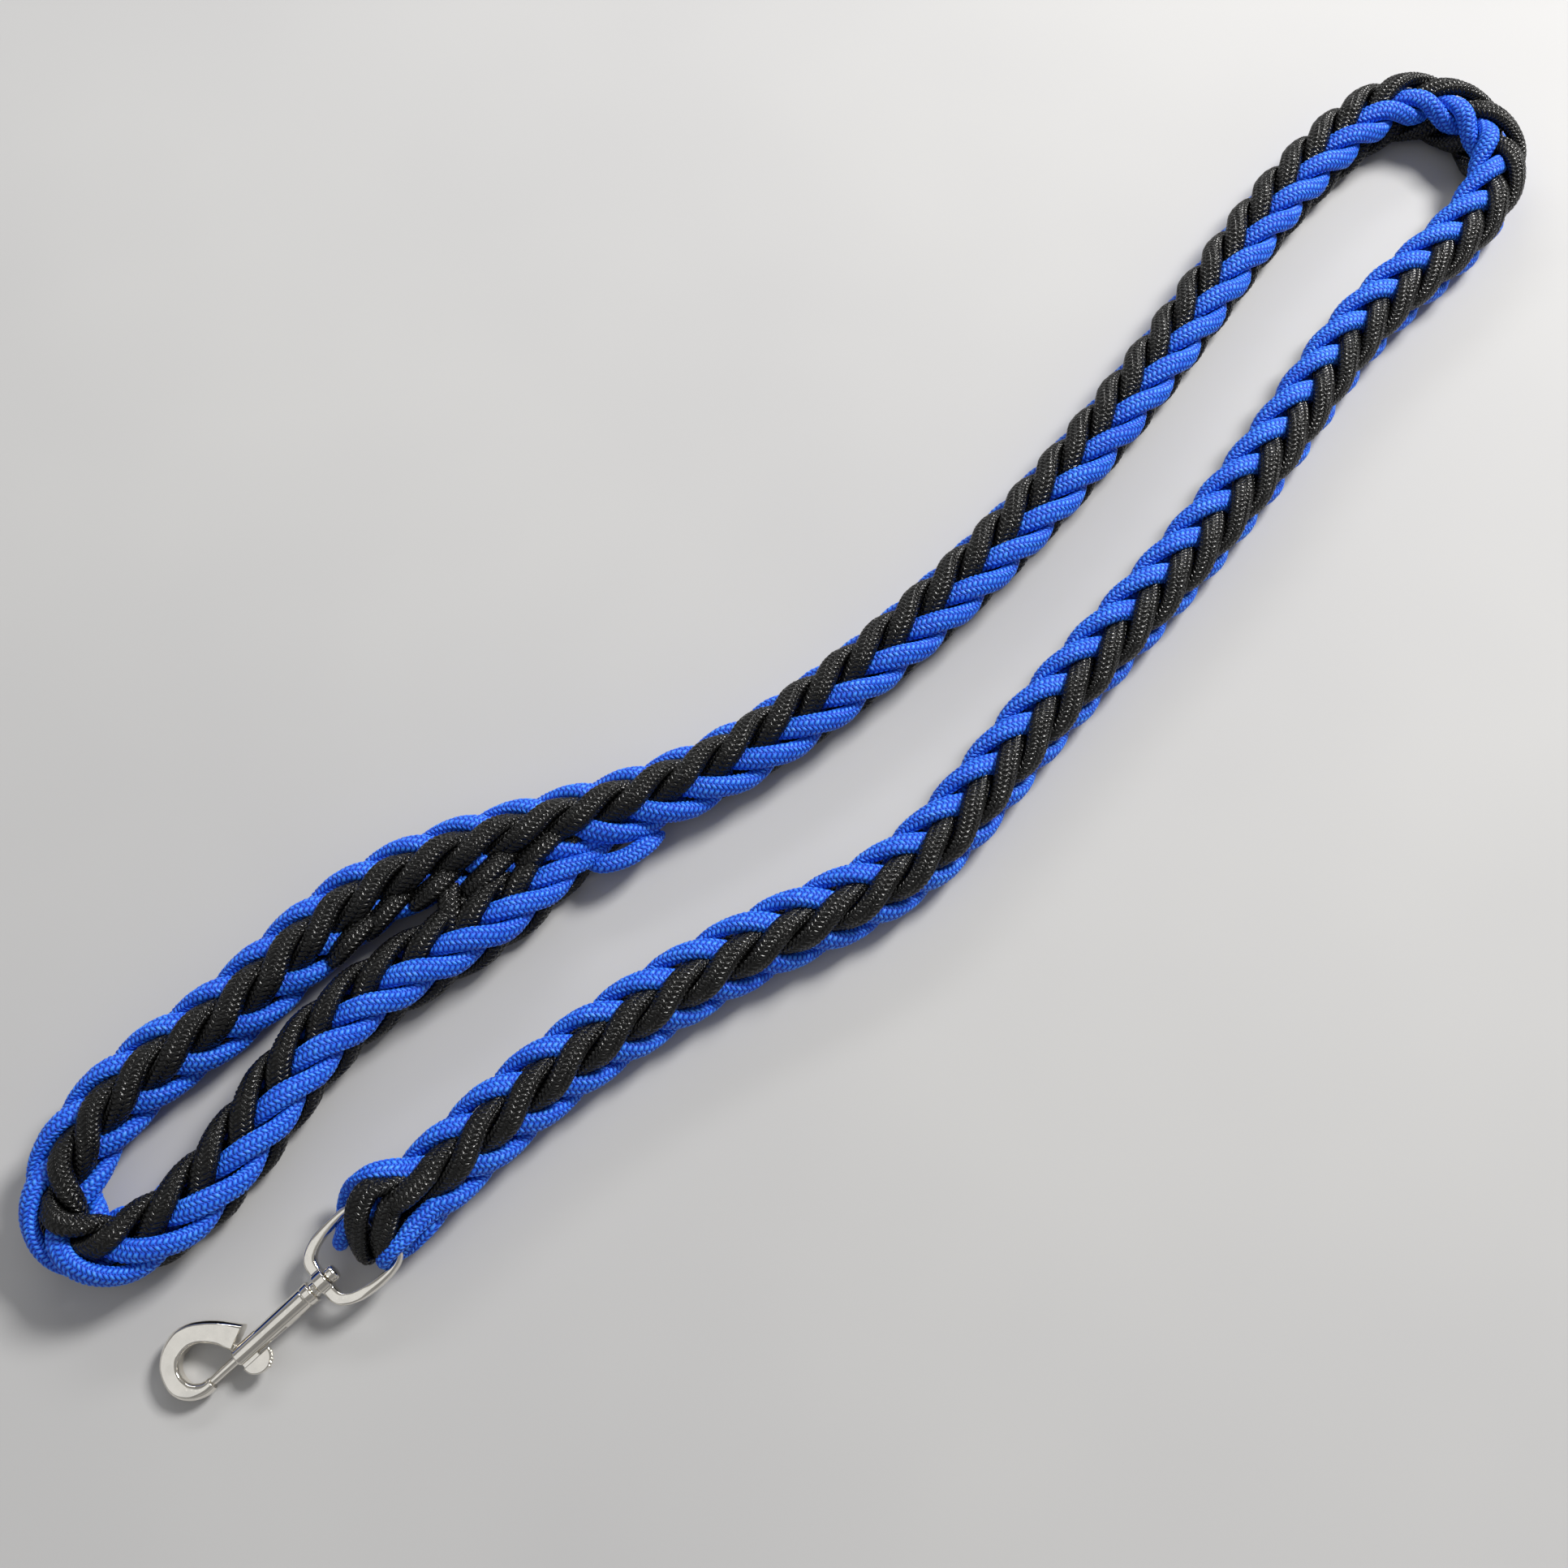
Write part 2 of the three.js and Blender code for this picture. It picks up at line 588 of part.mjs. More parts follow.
// Return spring behind the piston.
function boltSpring() {
  const stations = [];
  const count = SPRING_TURNS * SPRING_FACETS;
  for (let i = 0; i <= count; i++) {
    const angle = i / count * SPRING_TURNS * 2 * Math.PI;
    const normal = new THREE.Vector3(0, Math.cos(angle), Math.sin(angle));
    const x = SPRING_FROM + (SPRING_TO - SPRING_FROM) * i / count;
    stations.push({ point: normal.clone().multiplyScalar(SPRING_R).setX(x), normal });
  }
  return sweep(stations, SPRING_WIRE, SPRING_WIRE);
}

// The snap slopes up from the barrel's mouth so that its bar meets the cords.
function buildSnap() {
  const snap = new THREE.Group();
  const slope = Math.asin((BAR_Z - BARREL_MOUTH_Z) / BAR_AT);
  snap.rotation.order = 'ZYX';
  snap.rotation.set(0, -slope, snapHeading);
  snap.position.copy(barCentre).addScaledVector(eyeTravel, BAR_AT * Math.cos(slope));
  snap.position.z = BARREL_MOUTH_Z;
  add(snap, 'snap_body', snapBody(), 'chrome');
  add(snap, 'swivel_eye', swivelEye(), 'chrome');
  add(snap, 'trigger_bolt', triggerBolt(), 'chrome');
  add(snap, 'bolt_spring', boltSpring(), 'steel');
  return snap;
}

// ------------------------------------------------------------ assembly
const lead = new THREE.Group();
addBraid(lead);
for (const cord of EYE_CORDS) {
  add(lead, `eye_cord_${cord.colour}_${cord.hand}`, eyeCord(cord), cord.colour);
}
lead.add(buildSnap());

export default lead;
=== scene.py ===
# Looks for the braided cord lead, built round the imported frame.
import json
import math
import bpy
import numpy as np
from mathutils import Matrix, Vector


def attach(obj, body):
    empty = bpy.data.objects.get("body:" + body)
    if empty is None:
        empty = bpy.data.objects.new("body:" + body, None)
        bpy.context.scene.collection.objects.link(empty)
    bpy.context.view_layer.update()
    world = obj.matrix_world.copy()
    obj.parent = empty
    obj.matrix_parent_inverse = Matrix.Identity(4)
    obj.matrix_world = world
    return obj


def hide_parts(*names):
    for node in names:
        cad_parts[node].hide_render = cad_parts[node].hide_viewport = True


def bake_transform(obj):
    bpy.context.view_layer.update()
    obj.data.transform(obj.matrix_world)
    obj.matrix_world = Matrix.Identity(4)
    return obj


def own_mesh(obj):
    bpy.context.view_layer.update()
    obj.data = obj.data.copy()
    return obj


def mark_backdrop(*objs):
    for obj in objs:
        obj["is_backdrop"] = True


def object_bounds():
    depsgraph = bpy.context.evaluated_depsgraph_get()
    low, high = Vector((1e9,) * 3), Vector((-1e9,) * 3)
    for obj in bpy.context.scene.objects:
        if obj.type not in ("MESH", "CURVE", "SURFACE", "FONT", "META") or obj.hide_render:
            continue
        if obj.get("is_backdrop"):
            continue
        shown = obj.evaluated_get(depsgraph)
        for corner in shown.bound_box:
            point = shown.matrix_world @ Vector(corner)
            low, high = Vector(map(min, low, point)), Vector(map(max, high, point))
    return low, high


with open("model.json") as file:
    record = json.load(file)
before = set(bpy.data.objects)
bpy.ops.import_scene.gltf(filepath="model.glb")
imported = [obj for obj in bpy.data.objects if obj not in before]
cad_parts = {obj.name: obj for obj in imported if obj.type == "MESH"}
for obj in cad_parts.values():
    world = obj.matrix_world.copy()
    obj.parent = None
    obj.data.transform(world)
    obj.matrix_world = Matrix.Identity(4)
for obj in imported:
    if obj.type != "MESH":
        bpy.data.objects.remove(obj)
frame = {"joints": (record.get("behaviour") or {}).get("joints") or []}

CAD_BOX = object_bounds()
MM = 0.001

# ------------------------------------------------------------ layout (mm)
ORIGIN = np.array([31.1, 289.4])
LAY = 89.6
FACE, FACE_3, SIDE, SIDE_3 = 12.1, 0.4, 5.0, 1.0
EYE_RUN = 32.0                     # the braid's phase is counted from here before the bar
BAR_AT, BAR_R = 67.0, 2.0
CENTRE_LINE = np.array([
  [-88.2, 199.1, 40.0], [-113.5, 176.3, 46.6], [-141.5, 157.0, 47.3], [-168.2, 135.6, 46.4], [-188.9, 108.4, 45.5],
  [-207.4, 79.8, 40.0], [-232.3, 56.7, 29.5], [-240.9, 53.1, 27.4], [-249.9, 52.6, 26.2], [-258.0, 56.7, 25.0],
  [-263.3, 64.4, 23.8], [-264.3, 74.6, 22.2], [-258.7, 92.4, 19.2], [-236.8, 118.2, 13.9], [-210.1, 139.7, 11.2],
  [-186.1, 163.7, 9.8], [-159.6, 185.4, 8.5], [-128.7, 200.1, 5.4], [-96.2, 210.8, 1.1], [-63.8, 221.4, -3.9],
  [-32.6, 235.2, -11.7], [-3.6, 253.1, -21.2], [23.7, 273.9, -28.3], [49.3, 296.3, -29.2], [73.8, 320.1, -30.1],
  [97.3, 345.1, -31.3], [119.7, 371.0, -35.2], [140.9, 397.5, -38.4], [161.4, 424.7, -39.9], [181.1, 452.4, -41.3],
  [200.7, 480.6, -42.8], [221.0, 508.2, -44.3], [243.0, 534.1, -45.3], [267.8, 557.5, -46.0], [286.2, 567.6, -46.4],
  [301.5, 567.5, -46.7], [317.4, 558.5, -46.9], [325.4, 546.4, -46.3], [326.8, 532.9, -45.8], [320.7, 516.7, -45.2],
  [299.7, 489.7, -43.8], [274.8, 466.4, -42.5], [251.2, 441.7, -41.5], [230.7, 414.2, -40.6], [211.0, 386.4, -39.7],
  [190.3, 359.3, -38.8], [168.7, 332.9, -37.9], [146.2, 307.1, -35.9], [123.5, 281.7, -34.0], [100.9, 255.8, -32.0],
  [79.3, 229.2, -30.0], [56.4, 203.7, -28.1], [28.6, 184.1, -26.1], [-2.1, 169.4, -24.0], [-32.0, 153.2, -21.8],
  [-60.8, 134.7, -19.6], [-88.2, 114.4, -17.1], [-113.8, 91.6, -13.9], [-138.1, 67.7, -9.1], [-147.3, 58.7, -6.0],
])
JOINTS = {j["name"]: j for j in frame["joints"]}


def natural_spline(t, v):
    """Natural cubic spline through (t, v), returned as a function of an array."""
    n = len(t)
    h = np.diff(t)
    a = np.zeros((n, n))
    b = np.zeros(n)
    a[0, 0] = a[-1, -1] = 1
    for i in range(1, n - 1):
        a[i, i - 1], a[i, i], a[i, i + 1] = h[i - 1], 2 * (h[i - 1] + h[i]), h[i]
        b[i] = 3 * ((v[i + 1] - v[i]) / h[i] - (v[i] - v[i - 1]) / h[i - 1])
    m = np.linalg.solve(a, b)

    def f(x):
        i = np.clip(np.searchsorted(t, x, side="right") - 1, 0, n - 2)
        d = x - t[i]
        bb = (v[i + 1] - v[i]) / h[i] - h[i] * (m[i + 1] + 2 * m[i]) / 3
        return v[i] + d * (bb + d * (m[i] + d * (m[i + 1] - m[i]) / (3 * h[i])))

    return f


knots = np.r_[0, np.cumsum(np.hypot(*np.diff(CENTRE_LINE[:, :2], axis=0).T))]
_fine = np.arange(0, knots[-1], 0.1)
_x = natural_spline(knots, CENTRE_LINE[:, 0] - ORIGIN[0])(_fine)
_y = natural_spline(knots, CENTRE_LINE[:, 1] - ORIGIN[1])(_fine)
_roll = np.interp(_fine, knots, CENTRE_LINE[:, 2])
_run = np.r_[0, np.cumsum(np.hypot(np.diff(_x), np.diff(_y)))]
LENGTH = math.floor(_run[-1] / 0.5) * 0.5
BRAID_END = LENGTH - EYE_RUN

# The spliced end runs on past the start of the centre line, under the main leg.
TAIL_PATH = np.array([[-118.7, -92.0], [-108.5, -82.0], [-97.0, -73.5], [-84.5, -66.5], [-70.0, -59.5]])
_ts = -np.r_[0, np.cumsum(np.hypot(*np.diff(TAIL_PATH, axis=0).T))]
S = np.r_[np.arange(math.ceil(_ts[-1]), 0, 0.5), np.arange(0, LENGTH + 0.25, 0.5)]
_p0 = np.array([_x[0], _y[0]])
_px = np.where(S < 0, np.interp(S, _ts[::-1], (TAIL_PATH[:, 0] - TAIL_PATH[0, 0] + _p0[0])[::-1]), np.interp(S, _run, _x))
_py = np.where(S < 0, np.interp(S, _ts[::-1], (TAIL_PATH[:, 1] - TAIL_PATH[0, 1] + _p0[1])[::-1]), np.interp(S, _run, _y))


def box_smooth(v, half):
    k = np.ones(2 * half + 1) / (2 * half + 1)
    return np.convolve(np.pad(v, half, mode="edge"), k, mode="valid")


_blend = np.clip((S + 10) / 20, 0, 1)
_px = np.where(S < 12, box_smooth(_px, 12) * (1 - _blend) + _px * _blend, _px)
_py = np.where(S < 12, box_smooth(_py, 12) * (1 - _blend) + _py * _blend, _py)
_tx, _ty = np.gradient(_px), np.gradient(_py)
_tx, _ty = box_smooth(_tx, 3), box_smooth(_ty, 3)
_n = np.hypot(_tx, _ty)
_tx, _ty = _tx / _n, _ty / _n
_kap = box_smooth(np.gradient(np.unwrap(np.arctan2(_ty, _tx)), S), 6)  # + bends left
_rr = box_smooth(np.where(S < 0, CENTRE_LINE[0, 2] + S * 0.35, np.interp(S, _run, _roll)), 30)


def smooth(u):
    u = np.clip(u, 0, 1)
    return u * u * (3 - 2 * u)


def tail_scale(s):
    """1 along the lead, shrinking where the spliced end dives under the main leg."""
    return 1 - 0.42 * smooth((42 - s) / 92)


def centre_height(s, roll):
    """Axis height at which the braid's lowest cords just touch the surface."""
    c = np.cos(np.radians(roll * 2)) ** 2
    base = 13.5 + 1.15 * c
    sunk = smooth((45 - s) / 60) * 3.6
    lift = 2.2 * np.exp(-(((s - 455.0) / 60.0) ** 2))  # the main leg rides up over the tucked ends
    return (base - sunk * 0.9) + lift


def frames(s):
    """Section frames at arc lengths s: origin, travel, side and face axes, and signed curvature."""
    x, y = np.interp(s, S, _px), np.interp(s, S, _py)
    t = np.stack([np.interp(s, S, _tx), np.interp(s, S, _ty), np.zeros_like(s)], 1)
    t /= np.linalg.norm(t, axis=1)[:, None]
    roll = np.interp(s, S, _rr)
    r = np.radians(roll)
    left = np.stack([-t[:, 1], t[:, 0], np.zeros_like(s)], 1)
    up = np.array([0, 0, 1.0])
    side = left * np.cos(r)[:, None] + up * np.sin(r)[:, None]
    face = up * np.cos(r)[:, None] - left * np.sin(r)[:, None]
    o = np.stack([x, y, centre_height(s, roll)], 1)
    return o, t, side, face, left, np.interp(s, S, _kap)


TURN = 2 * math.pi / LAY


def phase(colour, k, s):
    if colour == "black":
        return math.pi / 4 + TURN * (s - BRAID_END) + k * math.pi / 2
    return -TURN * (s - BRAID_END) + k * math.pi / 2


def section(colour, a):
    """Strand centre in the section (side, face) at phase a, and the way its flat looks out."""
    if colour == "black":
        return (SIDE * np.sin(a) + SIDE_3 * np.sin(3 * a), FACE * np.cos(a) - FACE_3 * np.cos(3 * a), np.sin(a), np.cos(a))
    return (FACE * np.sin(a) + FACE_3 * np.sin(3 * a), SIDE * np.cos(a) - SIDE_3 * np.cos(3 * a), np.sin(a), np.cos(a))


WIDE = {"black": 8.7, "blue": 8.2}
THICK = {"black": 6.0, "blue": 5.9}


def strand(colour, k, s0, s1, step=0.25):
    """Dense samples of one strand from s0 to s1: points, normals, width, thickness, arc."""
    s = np.arange(s0, s1 + 1e-6, step)
    o, t, side, face, left, kap = frames(s)
    a = phase(colour, k, s)
    x, z, nx, nz = section(colour, a)
    q = tail_scale(s)
    x, z = x * q, z * q
    off = side * x[:, None] + face * z[:, None]
    lateral = (off * left).sum(1)
    squeeze = np.clip(1 - kap * lateral, 0.25, 1.6)        # how far apart the turns are here, against a straight run
    slope = 0.454
    f = squeeze * slope / np.sqrt(squeeze**2 + slope**2) / (slope / math.sqrt(1 + slope**2))
    w = WIDE[colour] * np.clip(0.15 + 0.85 * f, 0.66, 1.04) * (0.25 + 0.75 * q)
    th = THICK[colour] * (0.25 + 0.75 * q)
    # small hand-plaited unevenness
    wob = 0.22 * np.sin(s * 0.071 + k * 1.7 + (0 if colour == "black" else 2.1)) + 0.16 * np.sin(s * 0.173 + 2.3 * k)
    p = o + off * (1 + 0.012 * wob[:, None])
    w = w * (1 + 0.03 * np.sin(s * 0.11 + k * 2.2))
    n = side * nx[:, None] + face * nz[:, None]
    return p, n, w, th, s


# ------------------------------------------------------------ snap frame
E1 = np.array(JOINTS["hook_swivel"]["axis"], float)
E2 = np.array(JOINTS["eye_pivot"]["axis"], float)
E1 /= np.linalg.norm(E1); E2 /= np.linalg.norm(E2)
E3 = np.cross(E1, E2)
BAR = np.array(JOINTS["eye_pivot"]["pos_m"], float) * 1000
SNAP_O = BAR - BAR_AT * E1


def rounded(points, per=14):
    """Centripetal spline through the points, its first and last legs left out."""
    p = np.asarray(points, float)
    out = []
    for i in range(1, len(p) - 2):
        q = p[i - 1:i + 3]
        t = np.r_[0, np.cumsum(np.maximum(np.linalg.norm(np.diff(q, axis=0), axis=1), 1e-6) ** 0.5)]
        x = np.linspace(t[1], t[2], per, endpoint=False)[:, None]
        a1 = (t[1] - x) / (t[1] - t[0]) * q[0] + (x - t[0]) / (t[1] - t[0]) * q[1]
        a2 = (t[2] - x) / (t[2] - t[1]) * q[1] + (x - t[1]) / (t[2] - t[1]) * q[2]
        a3 = (t[3] - x) / (t[3] - t[2]) * q[2] + (x - t[2]) / (t[3] - t[2]) * q[3]
        b1 = (t[2] - x) / (t[2] - t[0]) * a1 + (x - t[0]) / (t[2] - t[0]) * a2
        b2 = (t[3] - x) / (t[3] - t[1]) * a2 + (x - t[1]) / (t[3] - t[1]) * a3
        out.append((t[2] - x) / (t[2] - t[1]) * b1 + (x - t[1]) / (t[2] - t[1]) * b2)
    return np.concatenate(out + [p[-2:-1]])


def eye_cord(colour, k_top, k_bottom, d_top, d_bottom, bight, wide, thick):
    """One whole cord: from the splice along the braid, round the eye's bar and back to the splice.
    bight holds the points of the turn in the snap's own frame, and the braid is left d_top and d_bottom before the bar."""
    top = strand(colour, k_top, S[0], LENGTH - d_top)
    bottom = strand(colour, k_bottom, S[0], LENGTH - d_bottom)
    b = np.array(bight, float)
    turn = SNAP_O + b[:, :1] * E1 + b[:, 1:2] * E2 + b[:, 2:] * E3
    path = rounded(np.r_[top[0][[-17, -1]], turn, bottom[0][[-1, -17]]])
    m = len(path)
    u = np.linspace(0, 1, m)
    rel = path - SNAP_O
    out = (rel @ E1 - BAR_AT)[:, None] * E1 + (rel @ E3)[:, None] * E3      # away from the bar's axis
    out /= np.linalg.norm(out, axis=1)[:, None]
    lead, trail = smooth(u / 0.3)[:, None], smooth((1 - u) / 0.3)[:, None]
    n = out * lead * trail + top[1][-1] * (1 - lead) + bottom[1][-1] * (1 - trail)
    n /= np.linalg.norm(n, axis=1)[:, None]
    mid = smooth(np.minimum(u, 1 - u) * 3.2)
    w = (top[2][-1] * (1 - u) + bottom[2][-1] * u) * (1 - mid) + wide * mid
    th = (top[3][-1] * (1 - u) + bottom[3][-1] * u) * (1 - mid) + thick * mid
    q = np.linspace(LENGTH - d_top, LENGTH + d_bottom, m)
    arc = (path, n, w, th, 2 * LENGTH - q)
    parts = [top, tuple(v[1:-1] for v in arc), tuple(v[::-1] for v in bottom)]
    cols = [np.concatenate([part[i] for part in parts]) for i in range(5)]
    which = np.concatenate([np.full(len(part[0]), f) for part, f in zip(parts, (0, 1, 2))])
    return (*cols, which)


def loose_cord(points, wide, thick):
    """A short stretch of cord through the points, its flat turned up, narrowing where it is pulled in at both ends."""
    p = np.array(points, float)
    path = rounded(np.r_[[2 * p[0] - p[1]], p, [2 * p[-1] - p[-2]]], 20)
    u = np.linspace(0, 1, len(path))
    t = np.gradient(path, axis=0)
    t /= np.linalg.norm(t, axis=1)[:, None]
    n = np.array([0, 0, 1.0]) - t * t[:, 2:]
    n /= np.linalg.norm(n, axis=1)[:, None]
    f = 0.72 + 0.28 * smooth(np.minimum(u, 1 - u) * 4)
    return path, n, wide * f, thick * f, u, 0 * u


# ------------------------------------------------------------ braided sheath
COLUMNS = 10                       # columns of picks round a cord
PER = 4                            # mesh columns to each column of picks
PICK = {"black": 1.95, "blue": 1.95}
RELIEF = {"black": 0.46, "blue": 0.42}
SLANT = 0.62                       # how far a pick leans along the cord, in picks
AROUND = PER * COLUMNS


def sheath_section():
    """Unit superellipse, its points evenly spaced, as (thickness, width) with outward normals."""
    m = 2.25
    th = np.linspace(0, 2 * np.pi, 4001)
    c, s = np.cos(th), np.sin(th)
    x = 0.5 * 6.3 * np.sign(c) * np.abs(c) ** (2 / m)
    y = 0.5 * 8.4 * np.sign(s) * np.abs(s) ** (2 / m)
    d = np.r_[0, np.cumsum(np.hypot(np.diff(x), np.diff(y)))]
    g = np.linspace(0, d[-1], AROUND + 1)[:-1]
    xi, yi = np.interp(g, d, x), np.interp(g, d, y)
    tx, ty = np.roll(xi, -1) - np.roll(xi, 1), np.roll(yi, -1) - np.roll(yi, 1)
    nn = np.hypot(tx, ty)
    return xi / 6.3, yi / 8.4, ty / nn, -tx / nn


SEC = sheath_section()


def hash01(a, b, seed):
    v = np.sin(a * 127.1 + b * 311.7 + seed * 74.7) * 43758.5453
    return v - np.floor(v)


def sheath(path, colour, seed):
    """Rings of the cord's braided jacket: (rings, AROUND, 3) points, three looks per vertex, arc and part per ring."""
    p, n, w, th, s, part = path
    d = np.r_[0, np.cumsum(np.linalg.norm(np.diff(p, axis=0), axis=1))]
    keep = np.r_[True, np.diff(d) > 1e-6]
    p, n, w, th, s, part, d = (v[keep] for v in (p, n, w, th, s, part, d))
    pitch = PICK[colour]
    count = int(d[-1] / (pitch / 4))
    v = np.arange(count + 1) * (pitch / 4)
    P = np.stack([np.interp(v, d, p[:, i]) for i in range(3)], 1)
    N = np.stack([np.interp(v, d, n[:, i]) for i in range(3)], 1)
    W, TH, A = np.interp(v, d, w), np.interp(v, d, th), np.interp(v, d, s)
    PART = np.interp(v, d, part)
    T = np.gradient(P, axis=0)
    for _ in range(2):
        T[1:-1] = (T[:-2] + 2 * T[1:-1] + T[2:]) / 4
    T /= np.linalg.norm(T, axis=1)[:, None]
    N = N - T * (N * T).sum(1)[:, None]
    N /= np.linalg.norm(N, axis=1)[:, None]
    B = np.cross(T, N)
    i, j = np.arange(len(v))[:, None], np.arange(AROUND)[None]
    col, at = j // PER, j % PER
    edge = np.array([0.0, 0.25, 0.5, 0.25])[at] + np.where((at == 0) & (i % 2 == 0), 0.16, 0)   # 0 where four picks meet, 0.5 mid-pick
    odd = col % 2
    step = (i + 2 * odd) % 4
    run = np.array([0.5, 0.25, 0.0, 0.25])[step]                       # 0 in the groove between two picks, 0.5 on its crest
    run = np.where(at == 0, 0.25, run)
    pick = (i + 2 * odd + 2) // 4
    rnd = hash01(col * 1.0, pick % 977, seed)
    amp = RELIEF[colour]
    crest = np.array([1.0, 0.84, 0.0, 0.84])[step]
    h = np.where(at == 0, np.where(i % 2 == 0, 0.46, -0.06) * amp, amp * (-0.42 + (1.3 * crest) * np.where(at == 2, 1.0, 0.84))) * (0.85 + 0.3 * rnd)
    # each pick leans, one way in even columns and the other way in odd ones
    lean = SLANT * pitch * np.array([-0.5, -0.25, 0.0, 0.25])[at] * np.where(odd == 0, 1.0, -1.0)
    lean = np.where((at == 0) & (odd == 1), 0.5 * SLANT * pitch, lean)
    x = SEC[0][None] * TH[:, None] + SEC[2][None] * h
    y = SEC[1][None] * W[:, None] + SEC[3][None] * h
    V = P[:, None] + N[:, None] * x[..., None] + B[:, None] * y[..., None] + T[:, None] * (lean + 0 * x)[..., None]
    return V, edge, run, rnd + 0 * h, A, PART


def tube_mesh(name, runs):
    """One mesh of closed tubes; each run is (points, edge, run, tint)."""
    verts, faces_q, faces_t, base = [], [], [], 0
    looks = {"pick_edge": [], "pick_run": [], "tint": []}
    sharp = []
    for V, *vals in runs:
        m, k = V.shape[:2]
        ends = np.array([V[0].mean(0), V[-1].mean(0)])
        verts += [V.reshape(-1, 3), ends]
        for key, val in zip(looks, vals):
            looks[key] += [val.ravel(), np.array([0.3, 0.3])]
        i, j = np.meshgrid(np.arange(m - 1), np.arange(k), indexing="ij")
        a = base + i * k + j
        b = base + i * k + (j + 1) % k
        faces_q.append(np.stack([a, b, b + k, a + k], -1).reshape(-1, 4))
        c0, c1 = base + m * k, base + m * k + 1
        jj = np.arange(k)
        faces_t.append(np.stack([base + (jj + 1) % k, base + jj, np.full(k, c0)], 1))
        top = base + (m - 1) * k
        faces_t.append(np.stack([top + jj, top + (jj + 1) % k, np.full(k, c1)], 1))
        sharp.append((base, base + k)); sharp.append((top, top + k))
        base += m * k + 2
    verts = np.concatenate(verts) * MM
    q, t = np.concatenate(faces_q), np.concatenate(faces_t)
    me = bpy.data.meshes.new(name)
    me.vertices.add(len(verts))
    me.vertices.foreach_set("co", verts.astype(np.float32).ravel())
    loops = np.r_[q.ravel(), t.ravel()]
    me.loops.add(len(loops))
    me.loops.foreach_set("vertex_index", loops.astype(np.int32))
    starts = np.r_[np.arange(len(q)) * 4, len(q) * 4 + np.arange(len(t)) * 3]
    me.polygons.add(len(starts))
    me.polygons.foreach_set("loop_start", starts.astype(np.int32))
    me.update(calc_edges=True)
    me.polygons.foreach_set("use_smooth", np.ones(len(starts), bool))
    for nm, val in looks.items():
        at = me.attributes.new(nm, "FLOAT", "POINT")
        at.data.foreach_set("value", np.concatenate(val).astype(np.float32))
    ed = np.zeros(len(me.edges) * 2, np.int32)
    me.edges.foreach_get("vertices", ed)
    ed = ed.reshape(-1, 2)
    flag = np.zeros(len(ed), bool)
    for lo, hi in sharp:
        flag |= (ed[:, 0] >= lo) & (ed[:, 0] < hi) & (ed[:, 1] >= lo) & (ed[:, 1] < hi)
    at = me.attributes.new("sharp_edge", "BOOLEAN", "EDGE")
    at.data.foreach_set("value", flag)
    ob = bpy.data.objects.new(name, me)
    bpy.context.scene.collection.objects.link(ob)
    return ob


# ------------------------------------------------------------ materials
def socket(node, *names):
    for n in names:
        if n in node.inputs:
            return node.inputs[n]
    raise KeyError(names)


def new_material(name):
    m = bpy.data.materials.new(name)
    m.use_nodes = True
    nt = m.node_tree
    nt.nodes.clear()
    out = nt.nodes.new("ShaderNodeOutputMaterial")
    b = nt.nodes.new("ShaderNodeBsdfPrincipled")
    nt.links.new(b.outputs["BSDF"], out.inputs["Surface"])
    return m, nt, b


def srgb(r, g, b):
    def f(c):
        c /= 255
        return c / 12.92 if c <= 0.04045 else ((c + 0.055) / 1.055) ** 2.4
    return (f(r), f(g), f(b), 1)


def ramp(nt, fac, stops, interpolation="LINEAR"):
    r = nt.nodes.new("ShaderNodeValToRGB")
    r.color_ramp.interpolation = interpolation
    while len(r.color_ramp.elements) < len(stops):
        r.color_ramp.elements.new(0.5)
    for e, (p, c) in zip(r.color_ramp.elements, stops):
        e.position, e.color = p, c
    nt.links.new(fac, r.inputs["Fac"])
    return r.outputs["Color"]


def math_node(nt, op, a, b=None, clamp=False):
    n = nt.nodes.new("ShaderNodeMath")
    n.operation, n.use_clamp = op, clamp
    for i, v in enumerate((a, b)):
        if v is None:
            continue
        if isinstance(v, (int, float)):
            n.inputs[i].default_value = v
        else:
            nt.links.new(v, n.inputs[i])
    return n.outputs[0]


def attribute(nt, name):
    a = nt.nodes.new("ShaderNodeAttribute")
    a.attribute_name = name
    return a.outputs["Fac"]


def noise(nt, vector, scale, detail=2.0, rough=0.55):
    n = nt.nodes.new("ShaderNodeTexNoise")
    n.inputs["Scale"].default_value = scale
    n.inputs["Detail"].default_value = detail
    n.inputs["Roughness"].default_value = rough
    nt.links.new(vector, n.inputs["Vector"])
    return n.outputs["Fac"]


def mix_rgb(nt, fac, a, b, mode="MIX"):
    n = nt.nodes.new("ShaderNodeMix")
    n.data_type, n.blend_type = "RGBA", mode
    for key, v in (("Factor", fac), ("A", a), ("B", b)):
        sock = next(s for s in n.inputs if s.name == key and (s.type == ("VALUE" if key == "Factor" else "RGBA")))
        if isinstance(v, (int, float)):
            sock.default_value = v
        elif isinstance(v, tuple):
            sock.default_value = v
        else:
            nt.links.new(v, sock)
    return next(s for s in n.outputs if s.type == "RGBA")


def ease(nt, value, lo, hi):
    """0 below lo, 1 above hi, soft between."""
    n = nt.nodes.new("ShaderNodeMapRange")
    n.interpolation_type = "SMOOTHSTEP"
    nt.links.new(value, n.inputs["Value"])
    n.inputs["From Min"].default_value, n.inputs["From Max"].default_value = lo, hi
    return n.outputs["Result"]


